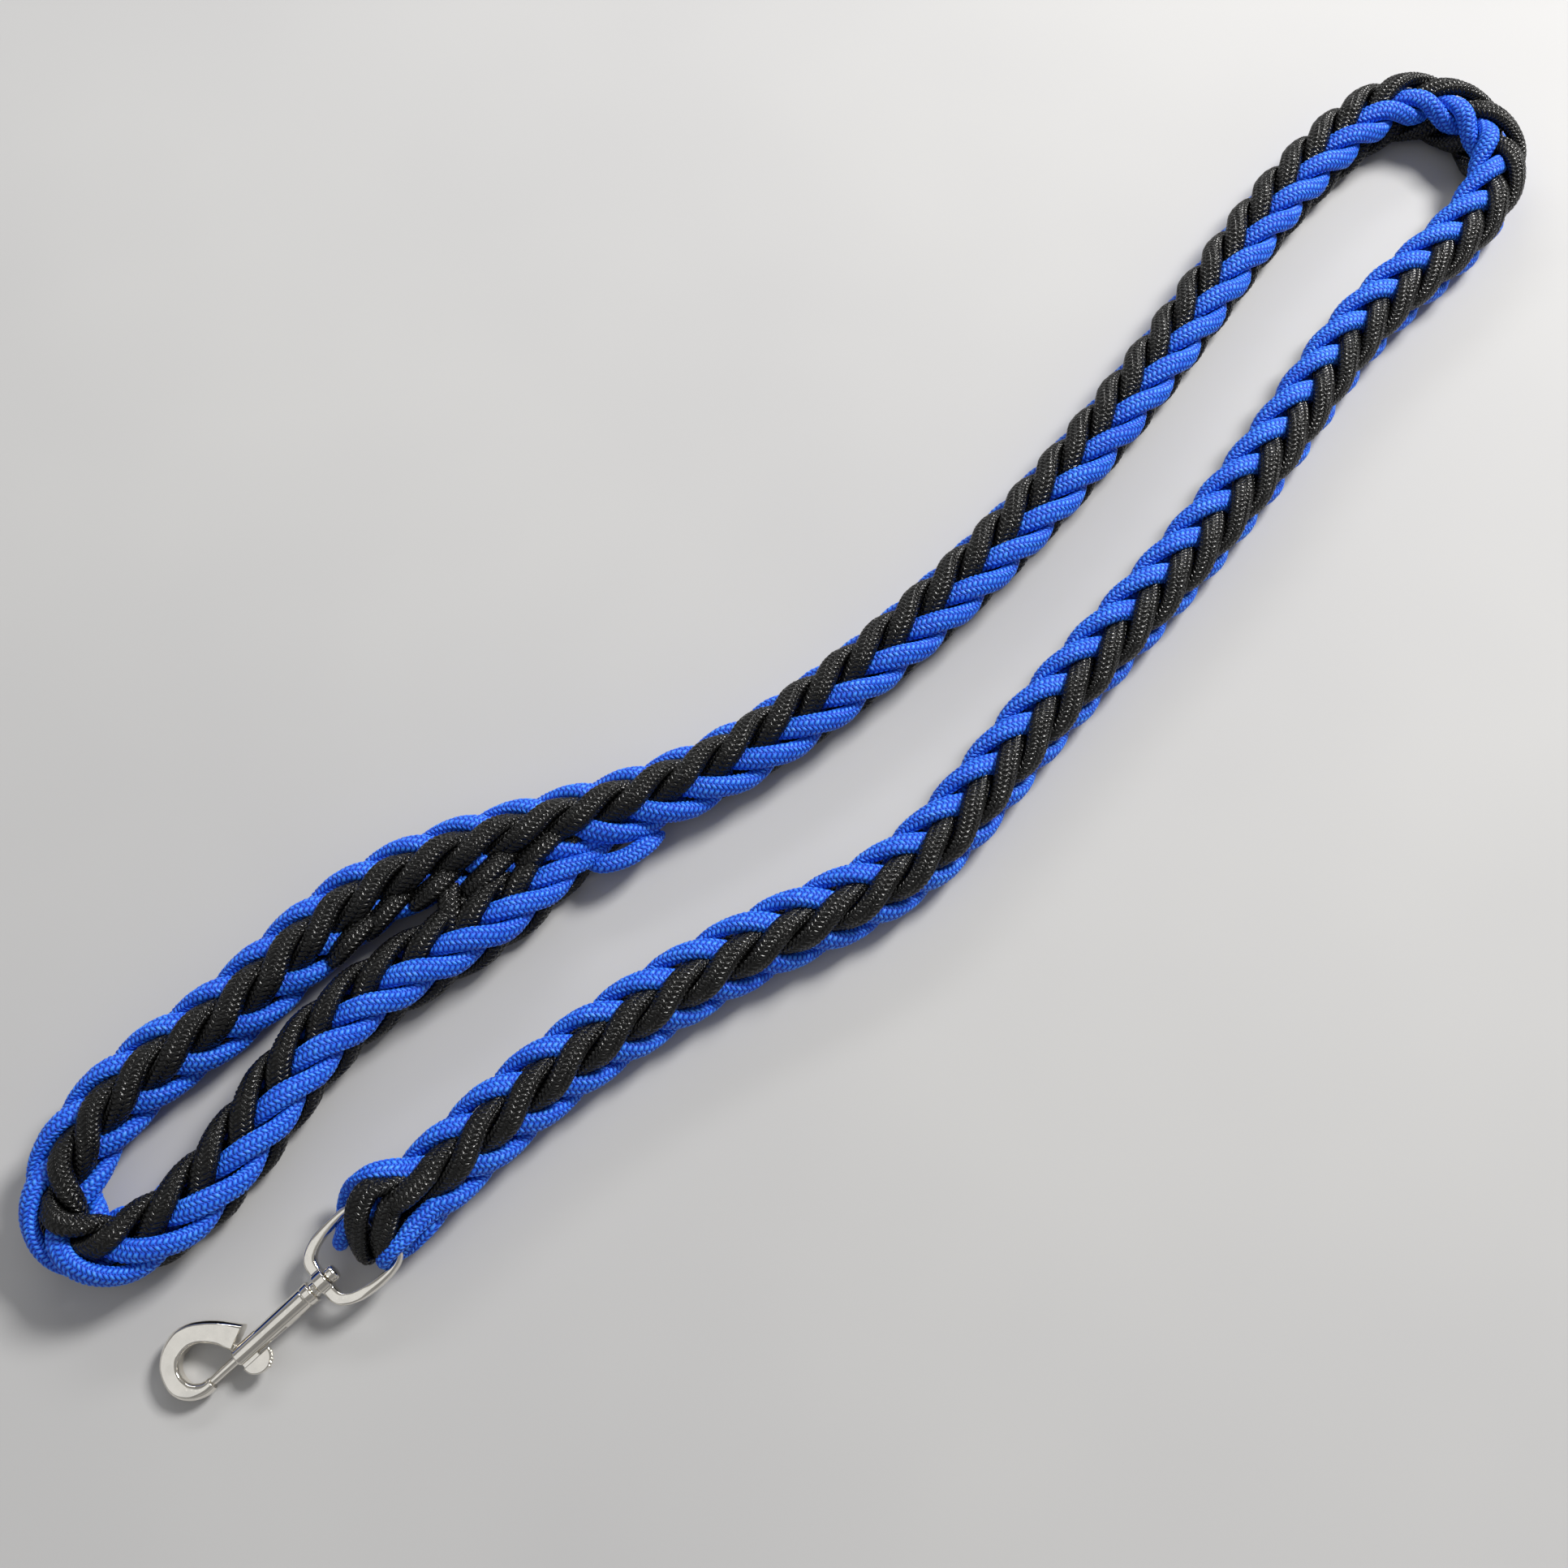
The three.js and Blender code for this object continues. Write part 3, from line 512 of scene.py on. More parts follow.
def cord_material(name, groove_shade, stops, rough, sheen_colour, sheen, spec):
    """Yarn picks: painted shade as a dark line round each one, a painted highlight on the crest in the middle, a little
    different from pick to pick.
    """
    m, nt, b = new_material(name)
    geo = nt.nodes.new("ShaderNodeTexCoord").outputs["Object"]
    edge, run, tint = attribute(nt, "pick_edge"), attribute(nt, "pick_run"), attribute(nt, "tint")
    broad = noise(nt, geo, 55.0, 2.0)
    fine = noise(nt, geo, 3000.0, 2.0)
    # Painted light in the base colour: each pick's crest is lightened as a painted highlight, and the line mask mixes
    # in the dark groove colour as painted shade in the gap round each pick. The tint and the noises are the yarn's own
    # uneven tone.
    crest = math_node(nt, "MULTIPLY", ease(nt, edge, 0.0, 0.42), ease(nt, run, 0.0, 0.40))
    line = math_node(nt, "MULTIPLY", ease(nt, edge, 0.02, 0.17), ease(nt, run, 0.02, 0.19))
    f = math_node(nt, "MULTIPLY", crest, 0.46)
    f = math_node(nt, "ADD", f, math_node(nt, "MULTIPLY", tint, 0.20))
    f = math_node(nt, "ADD", f, math_node(nt, "MULTIPLY", broad, 0.26))
    f = math_node(nt, "ADD", f, math_node(nt, "MULTIPLY", math_node(nt, "SUBTRACT", fine, 0.5), 0.22), clamp=True)
    nt.links.new(mix_rgb(nt, line, groove_shade, ramp(nt, f, stops)), b.inputs["Base Color"])
    r = math_node(nt, "ADD", math_node(nt, "MULTIPLY", fine, 0.16), rough - 0.08)
    r = math_node(nt, "SUBTRACT", r, math_node(nt, "MULTIPLY", tint, 0.08))
    r = math_node(nt, "ADD", r, math_node(nt, "MULTIPLY", math_node(nt, "SUBTRACT", 1.0, line), 0.3), clamp=True)
    nt.links.new(r, b.inputs["Roughness"])
    socket(b, "Specular IOR Level", "Specular").default_value = spec
    socket(b, "Sheen Weight", "Sheen").default_value = sheen
    if "Sheen Tint" in b.inputs and b.inputs["Sheen Tint"].type == "RGBA":
        b.inputs["Sheen Tint"].default_value = sheen_colour
    if "Sheen Roughness" in b.inputs:
        b.inputs["Sheen Roughness"].default_value = 0.35
    # rounding of the picks and their yarn filaments, too fine for the mesh
    bump = nt.nodes.new("ShaderNodeBump")
    bump.inputs["Strength"].default_value = 0.7
    bump.inputs["Distance"].default_value = 0.0004
    height = math_node(nt, "ADD", math_node(nt, "MULTIPLY", line, 0.55), math_node(nt, "MULTIPLY", crest, 0.35))
    nt.links.new(math_node(nt, "ADD", height, math_node(nt, "MULTIPLY", fine, 0.14)), bump.inputs["Height"])
    nt.links.new(bump.outputs["Normal"], b.inputs["Normal"])
    return m


# The first colour of each material is painted shade for the gaps round the picks. Each ramp runs from a shaded tone to
# a lit tone, and its light end is a painted highlight on the pick crests. The spread between them also carries the
# yarn's own random tone.
BLUE = cord_material("cord_blue_yarn", srgb(10, 44, 165), [
    (0.0, srgb(14, 60, 190)), (0.3, srgb(22, 86, 222)), (0.52, srgb(38, 116, 244)), (0.76, srgb(70, 150, 252)), (1.0, srgb(124, 190, 255))],
    0.50, (0.30, 0.60, 1.0, 1), 0.10, 0.38)
BLACK = cord_material("cord_black_yarn", srgb(1, 1, 1), [
    (0.0, srgb(3, 3, 3)), (0.35, srgb(6, 6, 6)), (0.62, srgb(11, 11, 11)), (0.85, srgb(20, 20, 19)), (1.0, srgb(44, 43, 41))],
    0.23, (0.8, 0.82, 0.85, 1), 0.0, 0.42)


# ------------------------------------------------------------ the cords
LEAD = {}
FOLD_D = np.array([-0.6494, -0.7604, 0.0])
JL = {k: np.array(JOINTS[k]["pos_m"], float) * 1000 for k in ("hand_loop_fold", "lead_bend", "clip_end_lift")}
LIFT_AXIS = np.array(JOINTS["clip_end_lift"]["axis"], float)
FOLD_AXIS = np.array(JOINTS["hand_loop_fold"]["axis"], float)
FOLD_D = np.cross(FOLD_AXIS, [0, 0, 1.0])
FOLD_D = FOLD_D / np.linalg.norm(FOLD_D)
if FOLD_D[1] > 0:
    FOLD_D = -FOLD_D
APEX_D = np.array([0.766, -0.643, 0.0])
_ct = frames(np.array([1639.0]))[1][0]

# name, from, to, (body a, body b, start, end) or body, one piece per strand
STRETCHES = [
    ("splice_run", -1e9, 75.0, "lead_main", False),
    ("loop_turn_lower", 75.0, 155.0, ("lead_main", "hand_loop", JL["hand_loop_fold"] - 28 * FOLD_D, JL["hand_loop_fold"] + 28 * FOLD_D), False),
    ("hand_loop", 155.0, 312.0, "hand_loop", False),
    ("loop_turn_upper", 312.0, 392.0, ("lead_main", "hand_loop", JL["hand_loop_fold"] - 28 * FOLD_D, JL["hand_loop_fold"] + 28 * FOLD_D), False),
    ("main_leg", 392.0, 981.0, "lead_main", True),
    ("wide_bend", 981.0, 1102.0, ("lead_main", "free_leg", JL["lead_bend"] - 12 * APEX_D, JL["lead_bend"] + 12 * APEX_D), False),
    ("free_leg", 1102.0, 1604.0, "free_leg", True),
    ("clip_turn", 1604.0, 1674.0, ("free_leg", "clip_end", JL["clip_end_lift"] - 25 * _ct, JL["clip_end_lift"] + 25 * _ct), False),
]

# name, colour, strand towards the bar, strand back, where each leaves the braid, the turn (mm in the snap's frame), width, thickness
CORDS = [
    ("black_left", "black", 3, 0, 26, 20, [(84.5, 0.6, 11.0), (76.8, 1.2, 10.0), (70.2, -2.2, 8.2), (64.6, -5.6, 4.6), (61.9, -7.2, 0.2), (64.4, -6.2, -4.8), (70.5, -3.8, -6.4), (78.0, -2.8, -8.0)], 8.8, 5.2),
    ("black_right", "black", 2, 1, 20, 18, [(80.6, 8.2, 8.6), (75.0, 11.0, 11.4), (69.2, 9.6, 11.2), (63.4, 5.8, 8.6), (58.8, 1.0, 4.2), (56.9, -2.4, -1.0), (60.4, -1.0, -5.4), (67.0, 2.2, -6.0), (75.0, 4.6, -8.2)], 9.0, 5.2),
    ("blue_left", "blue", 1, 2, 20, 14, [(78.5, -8.4, 4.2), (72.4, -9.6, 5.4), (67.0, -9.8, 5.2), (62.4, -9.8, 3.0), (61.4, -9.8, 0.0), (62.6, -9.8, -3.4), (67.4, -9.9, -5.2), (73.4, -10.4, -4.8)], 5.4, 5.4),
    ("blue_right", "blue", 0, 3, 22, 20, [(84.6, 12.4, 6.4), (78.6, 16.2, 6.6), (72.2, 18.6, 3.2), (66.2, 19.2, -1.8), (60.8, 17.0, -6.0), (56.6, 12.4, -6.8), (53.2, 8.2, -4.8), (52.9, 6.6, -0.8), (57.2, 7.6, 3.4), (62.4, 8.2, 5.9), (67.6, 7.6, 6.2), (74.0, 6.8, 3.4), (80.0, 7.2, -2.0)], 5.4, 5.2),
]
runs = {}
eye_runs = {}
for n, (cname, colour, kt, kb, d_top, d_bottom, bight, wide, thick) in enumerate(CORDS):
    V, edge, run, tint, A, PART = sheath(eye_cord(colour, kt, kb, d_top, d_bottom, bight, wide, thick), colour, n + 1)
    q = np.where(PART < 1, A, 2 * LENGTH - A)
    q = np.maximum.accumulate(q)
    for name, lo, hi, _, each in STRETCHES:
        for k, a, b in ((kt, lo, hi), (kb, 2 * LENGTH - hi, 2 * LENGTH - lo)):
            i0 = max(0, int(np.searchsorted(q, a)))
            i1 = min(len(q) - 1, int(np.searchsorted(q, b)))
            key = (name, colour, k + 1 if each else 0)
            runs.setdefault(key, []).append(tuple(part[i0:i1 + 1] for part in (V, edge, run, tint)))
    i0, i1 = int(np.searchsorted(q, 1674.0)), int(np.searchsorted(q, 2 * LENGTH - 1674.0))
    eye_runs[cname] = (colour, [tuple(part[i0:i1 + 1] for part in (V, edge, run, tint))])

# ends of the splice tucked through the main leg, lying in the hollow between the two legs
TUCKS = [
    ("black", [(-161.6, -93.0, 8.0), (-160.6, -101.0, 18.5), (-159.6, -111.0, 22.5), (-158.9, -120.5, 18.0), (-158.0, -128.0, 9.0)], 8.4, 5.6),
    ("black", [(-143.4, -85.5, 9.0), (-142.2, -93.0, 18.0), (-141.7, -99.5, 20.0), (-141.2, -105.5, 16.5), (-140.6, -112.0, 8.0)], 7.0, 5.2),
    ("blue", [(-109.0, -88.5, 9.0), (-102.0, -91.0, 13.5), (-93.0, -88.8, 14.5), (-85.5, -83.2, 13.5), (-80.5, -76.5, 8.0)], 7.4, 5.2),
    ("black", [(-151.1, -83.4, 15.0), (-157.8, -93.1, 20.5), (-165.3, -103.2, 23.5), (-172.4, -107.6, 19.5), (-176.6, -106.0, 12.5)], 8.4, 5.6),
    ("black", [(-129.6, -76.3, 16.0), (-136.6, -86.7, 21.0), (-144.5, -96.7, 23.5), (-152.2, -103.5, 20.0), (-158.8, -106.5, 10.0)], 8.6, 5.6),
    ("black", [(-111.4, -68.9, 16.0), (-117.5, -77.4, 21.0), (-124.9, -86.8, 23.5), (-132.7, -93.0, 20.0), (-139.1, -95.9, 10.0)], 8.6, 5.6),
    ("black", [(-175.6, -95.5, 12.0), (-176.8, -102.5, 19.5), (-182.5, -110.7, 21.5), (-189.4, -117.9, 18.5), (-195.6, -119.5, 9.0)], 8.4, 5.6),
    ("black", [(-188.0, -105.9, 12.0), (-189.1, -112.8, 19.0), (-194.6, -121.2, 21.0), (-201.8, -128.3, 18.0), (-208.1, -130.0, 9.0)], 8.4, 5.6),
]
for n, (colour, points, wide, thick) in enumerate(TUCKS):
    V, edge, run, tint, _, _ = sheath(loose_cord(points, wide, thick), colour, 20 + n)
    runs[("splice_run", colour, 0)].append((V, edge, run, tint))

STEMS = {"splice_run": "splice_tail", "hand_loop": "hand_loop_cord", "main_leg": "main_leg_cord", "free_leg": "free_leg_cord"}
for (name, colour, k), rs in runs.items():
    label = f"{name}_{colour}" + (f"_{k}" if k else "")
    ob = tube_mesh("braid_" + label, rs)
    ob.data.materials.append(BLUE if colour == "blue" else BLACK)
    body = next(b for n, _, _, b, _ in STRETCHES if n == name)
    if isinstance(body, str):
        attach(ob, body)
    else:
        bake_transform(ob)
    stem = STEMS.get(name)
    if stem:
        ks = [k] if k else [1, 2, 3, 4]
        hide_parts(*[f"{stem}_{colour}_{i}" for i in ks])
for cname, (colour, rs) in eye_runs.items():
    ob = tube_mesh("braid_eye_" + cname, rs)
    ob.data.materials.append(BLUE if colour == "blue" else BLACK)
    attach(ob, "clip_end")
    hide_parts(f"eye_cord_{cname}")


# ------------------------------------------------------------ the snap, in mm, in its own frame
def catmull(points, closed=False, per=10):
    p = [np.array(v, float) for v in points]
    out = []
    n = len(p)
    last = n if closed else n - 1
    for i in range(last):
        p1, p2 = p[i % n], p[(i + 1) % n]
        p0 = p[(i - 1) % n] if closed or i > 0 else 2 * p1 - p2
        p3 = p[(i + 2) % n] if closed or i + 2 < n else 2 * p2 - p1
        t0 = 0.0
        t1 = t0 + max(np.linalg.norm(p1 - p0), 1e-9) ** 0.5
        t2 = t1 + max(np.linalg.norm(p2 - p1), 1e-9) ** 0.5
        t3 = t2 + max(np.linalg.norm(p3 - p2), 1e-9) ** 0.5
        for t in np.linspace(t1, t2, per, endpoint=False):
            a1 = (t1 - t) / (t1 - t0) * p0 + (t - t0) / (t1 - t0) * p1
            a2 = (t2 - t) / (t2 - t1) * p1 + (t - t1) / (t2 - t1) * p2
            a3 = (t3 - t) / (t3 - t2) * p2 + (t - t2) / (t3 - t2) * p3
            b1 = (t2 - t) / (t2 - t0) * a1 + (t - t0) / (t2 - t0) * a2
            b2 = (t3 - t) / (t3 - t1) * a2 + (t - t1) / (t3 - t1) * a3
            out.append((t2 - t) / (t2 - t1) * b1 + (t - t1) / (t2 - t1) * b2)
    if not closed:
        out.append(p[-1])
    return np.array(out)


class Parts:
    """Closed shells collected for one fused casting."""

    def __init__(self):
        self.v, self.f, self.n = [], [], 0

    def add(self, v, f):
        v = np.asarray(v, float)
        self.v.append(v)
        self.f += [[int(i) + self.n for i in face] for face in f]
        self.n += len(v)
        return self

    def lathe(self, profile, segments=96, centre=(0, 0), taper=None):
        """Turned round e1: profile is a list of (e1, r). A profile whose ends are at r 0 is solid, otherwise it closes on itself."""
        a = np.linspace(0, 2 * np.pi, segments, endpoint=False)
        solid = profile[0][1] == 0
        rows = profile[1:-1] if solid else profile
        v = [[e, centre[0] + r * math.cos(t), centre[1] + r * math.sin(t)] for e, r in rows for t in a]
        f = []
        m = len(rows)
        for i in range(m if not solid else m - 1):
            k = (i + 1) % m
            for j in range(segments):
                l = (j + 1) % segments
                f.append([i * segments + j, i * segments + l, k * segments + l, k * segments + j])
        if solid:
            v += [[profile[0][0], *centre], [profile[-1][0], *centre]]
            for j in range(segments):
                l = (j + 1) % segments
                f.append([m * segments, l, j])
                f.append([m * segments + 1, (m - 1) * segments + j, (m - 1) * segments + l])
        return self.add(v, f)

    def prism(self, outline, lo, hi, axis=2):
        """A flat outline pushed from lo to hi along the given axis (2: outline in e1,e2; 0: outline in e2,e3)."""
        o = np.asarray(outline, float)
        n = len(o)
        def put(z):
            if axis == 2:
                return np.c_[o, np.full(n, z)]
            if axis == 1:
                return np.c_[o[:, 0], np.full(n, z), o[:, 1]]
            return np.c_[np.full(n, z), o]
        v = np.r_[put(lo), put(hi)]
        f = [list(range(n))[::-1], [n + i for i in range(n)]]
        f += [[i, (i + 1) % n, n + (i + 1) % n, n + i] for i in range(n)]
        return self.add(v, f)

    def rings(self, rings, closed=False):
        """Skin over a row of equal closed rings, with caps."""
        r = np.asarray(rings, float)
        m, k = r.shape[:2]
        f = []
        for i in range(m if closed else m - 1):
            for j in range(k):
                a, b = i * k + j, i * k + (j + 1) % k
                c, d = ((i + 1) % m) * k + (j + 1) % k, ((i + 1) % m) * k + j
                f.append([a, b, c, d])
        v = r.reshape(-1, 3)
        if not closed:
            v = np.r_[v, [r[0].mean(0)], [r[-1].mean(0)]]
            for j in range(k):
                f.append([m * k, (j + 1) % k, j])
                f.append([m * k + 1, (m - 1) * k + j, (m - 1) * k + (j + 1) % k])
        return self.add(v, f)

    def mesh(self, name):
        me = bpy.data.meshes.new(name)
        me.from_pydata(np.concatenate(self.v).tolist(), [], self.f)
        me.validate()
        return me


def to_frame(me):
    """From the snap's own frame in mm to the row frame in metres."""
    co = np.zeros(len(me.vertices) * 3)
    me.vertices.foreach_get("co", co)
    co = co.reshape(-1, 3)
    w = (SNAP_O + co[:, :1] * E1 + co[:, 1:2] * E2 + co[:, 2:] * E3) * MM
    me.vertices.foreach_set("co", w.ravel())
    me.update()
    return me


def cast(name, parts, voxel=0.2, smoothing=6, factor=0.5):
    """Fuses the shells into one skin with softly rounded corners."""
    me = parts.mesh(name + "_raw")
    ob = bpy.data.objects.new(name + "_raw", me)
    bpy.context.scene.collection.objects.link(ob)
    r = ob.modifiers.new("fuse", "REMESH")
    r.mode, r.voxel_size, r.use_smooth_shade = "VOXEL", voxel, True
    s = ob.modifiers.new("round", "SMOOTH")
    s.iterations, s.factor = smoothing, factor
    dg = bpy.context.evaluated_depsgraph_get()
    dg.update()
    out = bpy.data.meshes.new_from_object(ob.evaluated_get(dg))
    bpy.data.objects.remove(ob)
    bpy.data.meshes.remove(me)
    out.name = name
    to_frame(out)
    out.polygons.foreach_set("use_smooth", np.ones(len(out.polygons), bool))
    new = bpy.data.objects.new(name, out)
    bpy.context.scene.collection.objects.link(new)
    return new


def hook_rings():
    """The hook as a row of sections from the wedge at the barrel round to the nose."""
    outer = catmull([(9.6, 7.6), (6.6, 11.2), (3.0, 15.2), (-1.4, 19.0), (-6.0, 21.8), (-11.3, 23.0), (-16.4, 21.8), (-20.4, 19.2),
                     (-23.4, 15.6), (-25.0, 11.0), (-25.2, 6.6), (-23.6, 2.4), (-20.4, -0.9), (-16.2, -2.7), (-13.6, -3.0), (-11.6, -2.9)], per=8)
    inner = catmull([(0.6, 3.3), (-0.3, 4.9), (-2.0, 8.2), (-4.6, 11.4), (-7.2, 13.6), (-10.2, 14.8), (-13.4, 14.7), (-15.8, 13.6),
                     (-17.4, 11.6), (-18.2, 9.4), (-18.2, 7.2), (-17.6, 5.2), (-16.4, 3.6), (-14.8, 2.5), (-13.2, 2.0), (-11.6, 1.9)], per=8)
    m = len(outer)
    k = 48
    a = np.linspace(0, 2 * np.pi, k, endpoint=False)
    rows = []
    for i in range(m):
        t = i / (m - 1)
        o, n = outer[i], inner[i]
        mid, half = (o + n) / 2, np.linalg.norm(o - n) / 2
        d = (o - n) / (2 * half)
        soft = smooth((t - 0.62) / 0.34)             # flat faces, rounder towards the nose
        high = 3.2 - 0.45 * soft
        c_out, c_in = 1.15, 0.75                      # chamfers outside and inside
        x, z = np.cos(a), np.sin(a)
        # chamfered bar by clipping a large square direction
        lim = np.minimum(half / np.maximum(np.abs(x), 1e-9), high / np.maximum(np.abs(z), 1e-9))
        bx, bz = x * lim, z * lim
        c = np.where(bx > 0, c_out, c_in)
        over = (np.abs(bx) / c * 1.0 + np.abs(bz) / (c * 1.25)) - (half / c + high / (c * 1.25) - 1)
        k2 = np.where(over > 0, (half / c + high / (c * 1.25) - 1) / (np.abs(bx) / c + np.abs(bz) / (c * 1.25)), 1)
        bx, bz = bx * k2, bz * k2
        rx, rz = np.cos(a) * half, np.sin(a) * high
        px, pz = bx * (1 - soft) + rx * soft, bz * (1 - soft) + rz * soft
        rows.append(np.c_[mid[0] + d[0] * px, mid[1] + d[1] * px, pz])
    return rows


def arc_points(r, a0, a1, n):
    t = np.linspace(math.radians(a0), math.radians(a1), n)
    return np.c_[r * np.cos(t), r * np.sin(t)]


body = Parts()
body.rings(hook_rings())
body.prism([(3.4, 2.0), (3.0, 4.0), (1.8, 5.0), (0.2, 4.6), (0.6, 2.9)], -1.9, 1.9)   # web between the wedge and the barrel
# slotted front of the barrel: the slot faces -e2
gap = math.degrees(math.asin(1.7 / 3.8))
front = np.r_[arc_points(1.0, 180 + gap, 540 - gap, 72), arc_points(1.0, 540 - gap, 180 + gap, 72)]
rows = []
for e, r in ((0.0, 3.35), (0.5, 3.65), (6.0, 3.72), (20.8, 3.95)):
    ring = front.copy()
    ring[:72] *= r
    ring[72:] *= 2.8
    rows.append(np.c_[np.full(144, e), ring[:, 0], ring[:, 1]])
body.rings(rows)
body.lathe([(20.6, 2.8), (20.6, 3.95), (31.4, 4.1), (31.6, 3.85), (32.0, 3.85), (32.2, 4.3), (33.5, 4.35), (33.5, 2.8)])
body.lathe([(33.2, 0), (33.2, 4.35), (34.9, 4.35), (35.3, 3.9), (35.4, 3.0), (37.2, 2.8), (37.2, 1.9), (42.6, 1.9), (42.6, 2.9),
            (42.9, 3.2), (44.9, 3.25), (45.7, 2.7), (46.2, 1.2), (46.2, 0)])
SNAP = cast("snap_casting", body, 0.2, 5)

EYE_OUTER = catmull([(37.75, 0), (37.75, 4.4), (38.1, 8.2), (39.6, 10.9), (42.0, 12.9), (46.0, 14.7), (51.0, 15.6), (57.0, 15.9), (62.0, 15.5), (65.6, 14.3), (68.0, 12.2), (69.0, 9.4), (69.0, 4.0), (69.0, 0)], per=8)
EYE_INNER = catmull([(42.15, 0), (42.3, 4.2), (43.0, 7.8), (45.2, 9.8), (48.4, 11.1), (52.6, 12.0), (57.6, 12.5), (61.4, 12.5), (63.8, 12.2), (64.9, 11.3), (65.0, 9.0), (65.0, 6.0), (65.0, 3.0), (65.0, 0)], per=8)


def band_rings(outer, inner, high, c):
    rows, m, k = [], len(outer), 40
    a = np.linspace(0, 2 * np.pi, k, endpoint=False)
    for i in range(m):
        o, n = outer[i], inner[i]
        mid, half = (o + n) / 2, np.linalg.norm(o - n) / 2
        d = (o - n) / (2 * half)
        t = i / (m - 1)
        soft = 0.18 + 0.82 * smooth((t - 0.28) / 0.5)
        h = high - 0.2 * soft
        x, z = np.cos(a), np.sin(a)
        lim = np.minimum(half / np.maximum(np.abs(x), 1e-9), h / np.maximum(np.abs(z), 1e-9))
        bx, bz = x * lim, z * lim
        lead = half / c + h / c - 1
        k2 = np.where(np.abs(bx) / c + np.abs(bz) / c > lead, lead / (np.abs(bx) / c + np.abs(bz) / c), 1)
        px = bx * k2 * (1 - soft) + np.cos(a) * half * soft
        pz = bz * k2 * (1 - soft) + np.sin(a) * h * soft
        rows.append(np.c_[mid[0] + d[0] * px, mid[1] + d[1] * px, pz])
    return rows


eye = Parts()
right = band_rings(EYE_OUTER, EYE_INNER, 2.25, 0.6)
left_half = [np.c_[r[::-1, 0], -r[::-1, 1], r[::-1, 2]] for r in right]
eye.rings(right)
eye.rings(left_half)
eye.lathe([(37.7, 2.3), (37.7, 4.3), (38.0, 4.6), (41.9, 4.6), (42.2, 4.3), (42.2, 2.3)])
EYE = cast("swivel_eye_casting", eye, 0.2, 5)

bolt = Parts()
bolt.lathe([(-13.9, 0), (-13.9, 1.2), (-13.5, 1.5), (-4.0, 1.75), (1.0, 1.95), (4.0, 2.0), (4.2, 2.5), (9.9, 2.5), (10.1, 2.2), (10.1, 0)])
tab_out = np.array([(5.6 + 5.8 * math.cos(t), -4.5 - 5.8 * math.sin(t) * 0.98) for t in np.linspace(0, math.pi, 40)])
bolt.prism([(7.4, -1.5), (7.4, -4.9), (0.5, -4.9), (0.5, -1.5)], -1.3, 1.3)
tab = np.r_[tab_out, [(-0.2, -4.5)]]
rows = []
for z, shrink in ((-1.45, 0.88), (-1.05, 1.0), (1.05, 1.0), (1.45, 0.88)):
    c = np.array([5.6, -7.0])
    rows.append(np.c_[c + (tab_out - c) * shrink, np.full(len(tab_out), z)])
bolt.rings(rows)
knob = Parts()
for i in range(5):                                    # knurled grip at the edge of the tab
    t = math.radians(18 + i * 13)
    cx, cy = 5.6 + 5.9 * math.cos(t), -4.5 - 5.8 * math.sin(t)
    bolt.lathe([(cx - 0.55, 0), (cx - 0.5, 0.4), (cx - 0.2, 0.8), (cx + 0.2, 0.8), (cx + 0.5, 0.4), (cx + 0.55, 0)], 20, (cy, 0.55))
BOLT = cast("trigger_bolt_casting", bolt, 0.15, 4)

# return spring: a wire helix, ground flat at both ends
turns, wire, rs = 8.0, 0.42, 2.05
z0, z1 = 10.65, 32.9
t = np.linspace(0, 1, 900)
ease = np.clip((t - 0.06) / 0.88, 0, 1)
axis_at = z0 + wire + (z1 - z0 - 2 * wire) * ease
ang = 2 * np.pi * (turns + 2) * t
path = np.c_[axis_at, rs * np.cos(ang), rs * np.sin(ang)]
tan = np.gradient(path, axis=0)
tan /= np.linalg.norm(tan, axis=1)[:, None]
rad = np.c_[np.zeros(len(t)), np.cos(ang), np.sin(ang)]
bi = np.cross(tan, rad)
phi = np.linspace(0, 2 * np.pi, 12, endpoint=False)
wire_rings = path[:, None] + wire * (rad[:, None] * np.cos(phi)[None, :, None] + bi[:, None] * np.sin(phi)[None, :, None])
spring = Parts()
spring.rings(wire_rings)
sm = to_frame(spring.mesh("bolt_spring_coil"))
sm.polygons.foreach_set("use_smooth", np.ones(len(sm.polygons), bool))
SPRING = bpy.data.objects.new("bolt_spring_coil", sm)
bpy.context.scene.collection.objects.link(SPRING)


def metal(name, light, dark, rough, wear):
    m, nt, b = new_material(name)
    obj = nt.nodes.new("ShaderNodeTexCoord").outputs["Object"]
    cloud = noise(nt, obj, 120.0, 3.0)
    pits = noise(nt, obj, 3200.0, 2.0)
    # Painted shade and highlight: by pointiness, the base colour darkens in concave hollows and lightens on convex
    # edges. This sits over a random cloudy tone of the plating.
    geo = nt.nodes.new("ShaderNodeNewGeometry")
    edge = math_node(nt, "MULTIPLY", math_node(nt, "SUBTRACT", geo.outputs["Pointiness"], 0.5), 6.0)
    f = math_node(nt, "ADD", math_node(nt, "MULTIPLY", cloud, 0.7), edge)
    f = math_node(nt, "ADD", f, math_node(nt, "MULTIPLY", pits, 0.18), clamp=True)
    nt.links.new(ramp(nt, f, [(0.0, dark), (0.55, light), (1.0, light)]), b.inputs["Base Color"])
    b.inputs["Metallic"].default_value = 1.0
    r = math_node(nt, "ADD", math_node(nt, "MULTIPLY", cloud, wear), rough - wear * 0.5)
    r = math_node(nt, "ADD", r, math_node(nt, "MULTIPLY", math_node(nt, "GREATER_THAN", pits, 0.68), 0.10), clamp=True)
    nt.links.new(r, b.inputs["Roughness"])
    bump = nt.nodes.new("ShaderNodeBump")
    bump.inputs["Strength"].default_value = 0.10
    bump.inputs["Distance"].default_value = 0.0003
    nt.links.new(noise(nt, obj, 160.0, 2.0), bump.inputs["Height"])
    nt.links.new(bump.outputs["Normal"], b.inputs["Normal"])
    return m


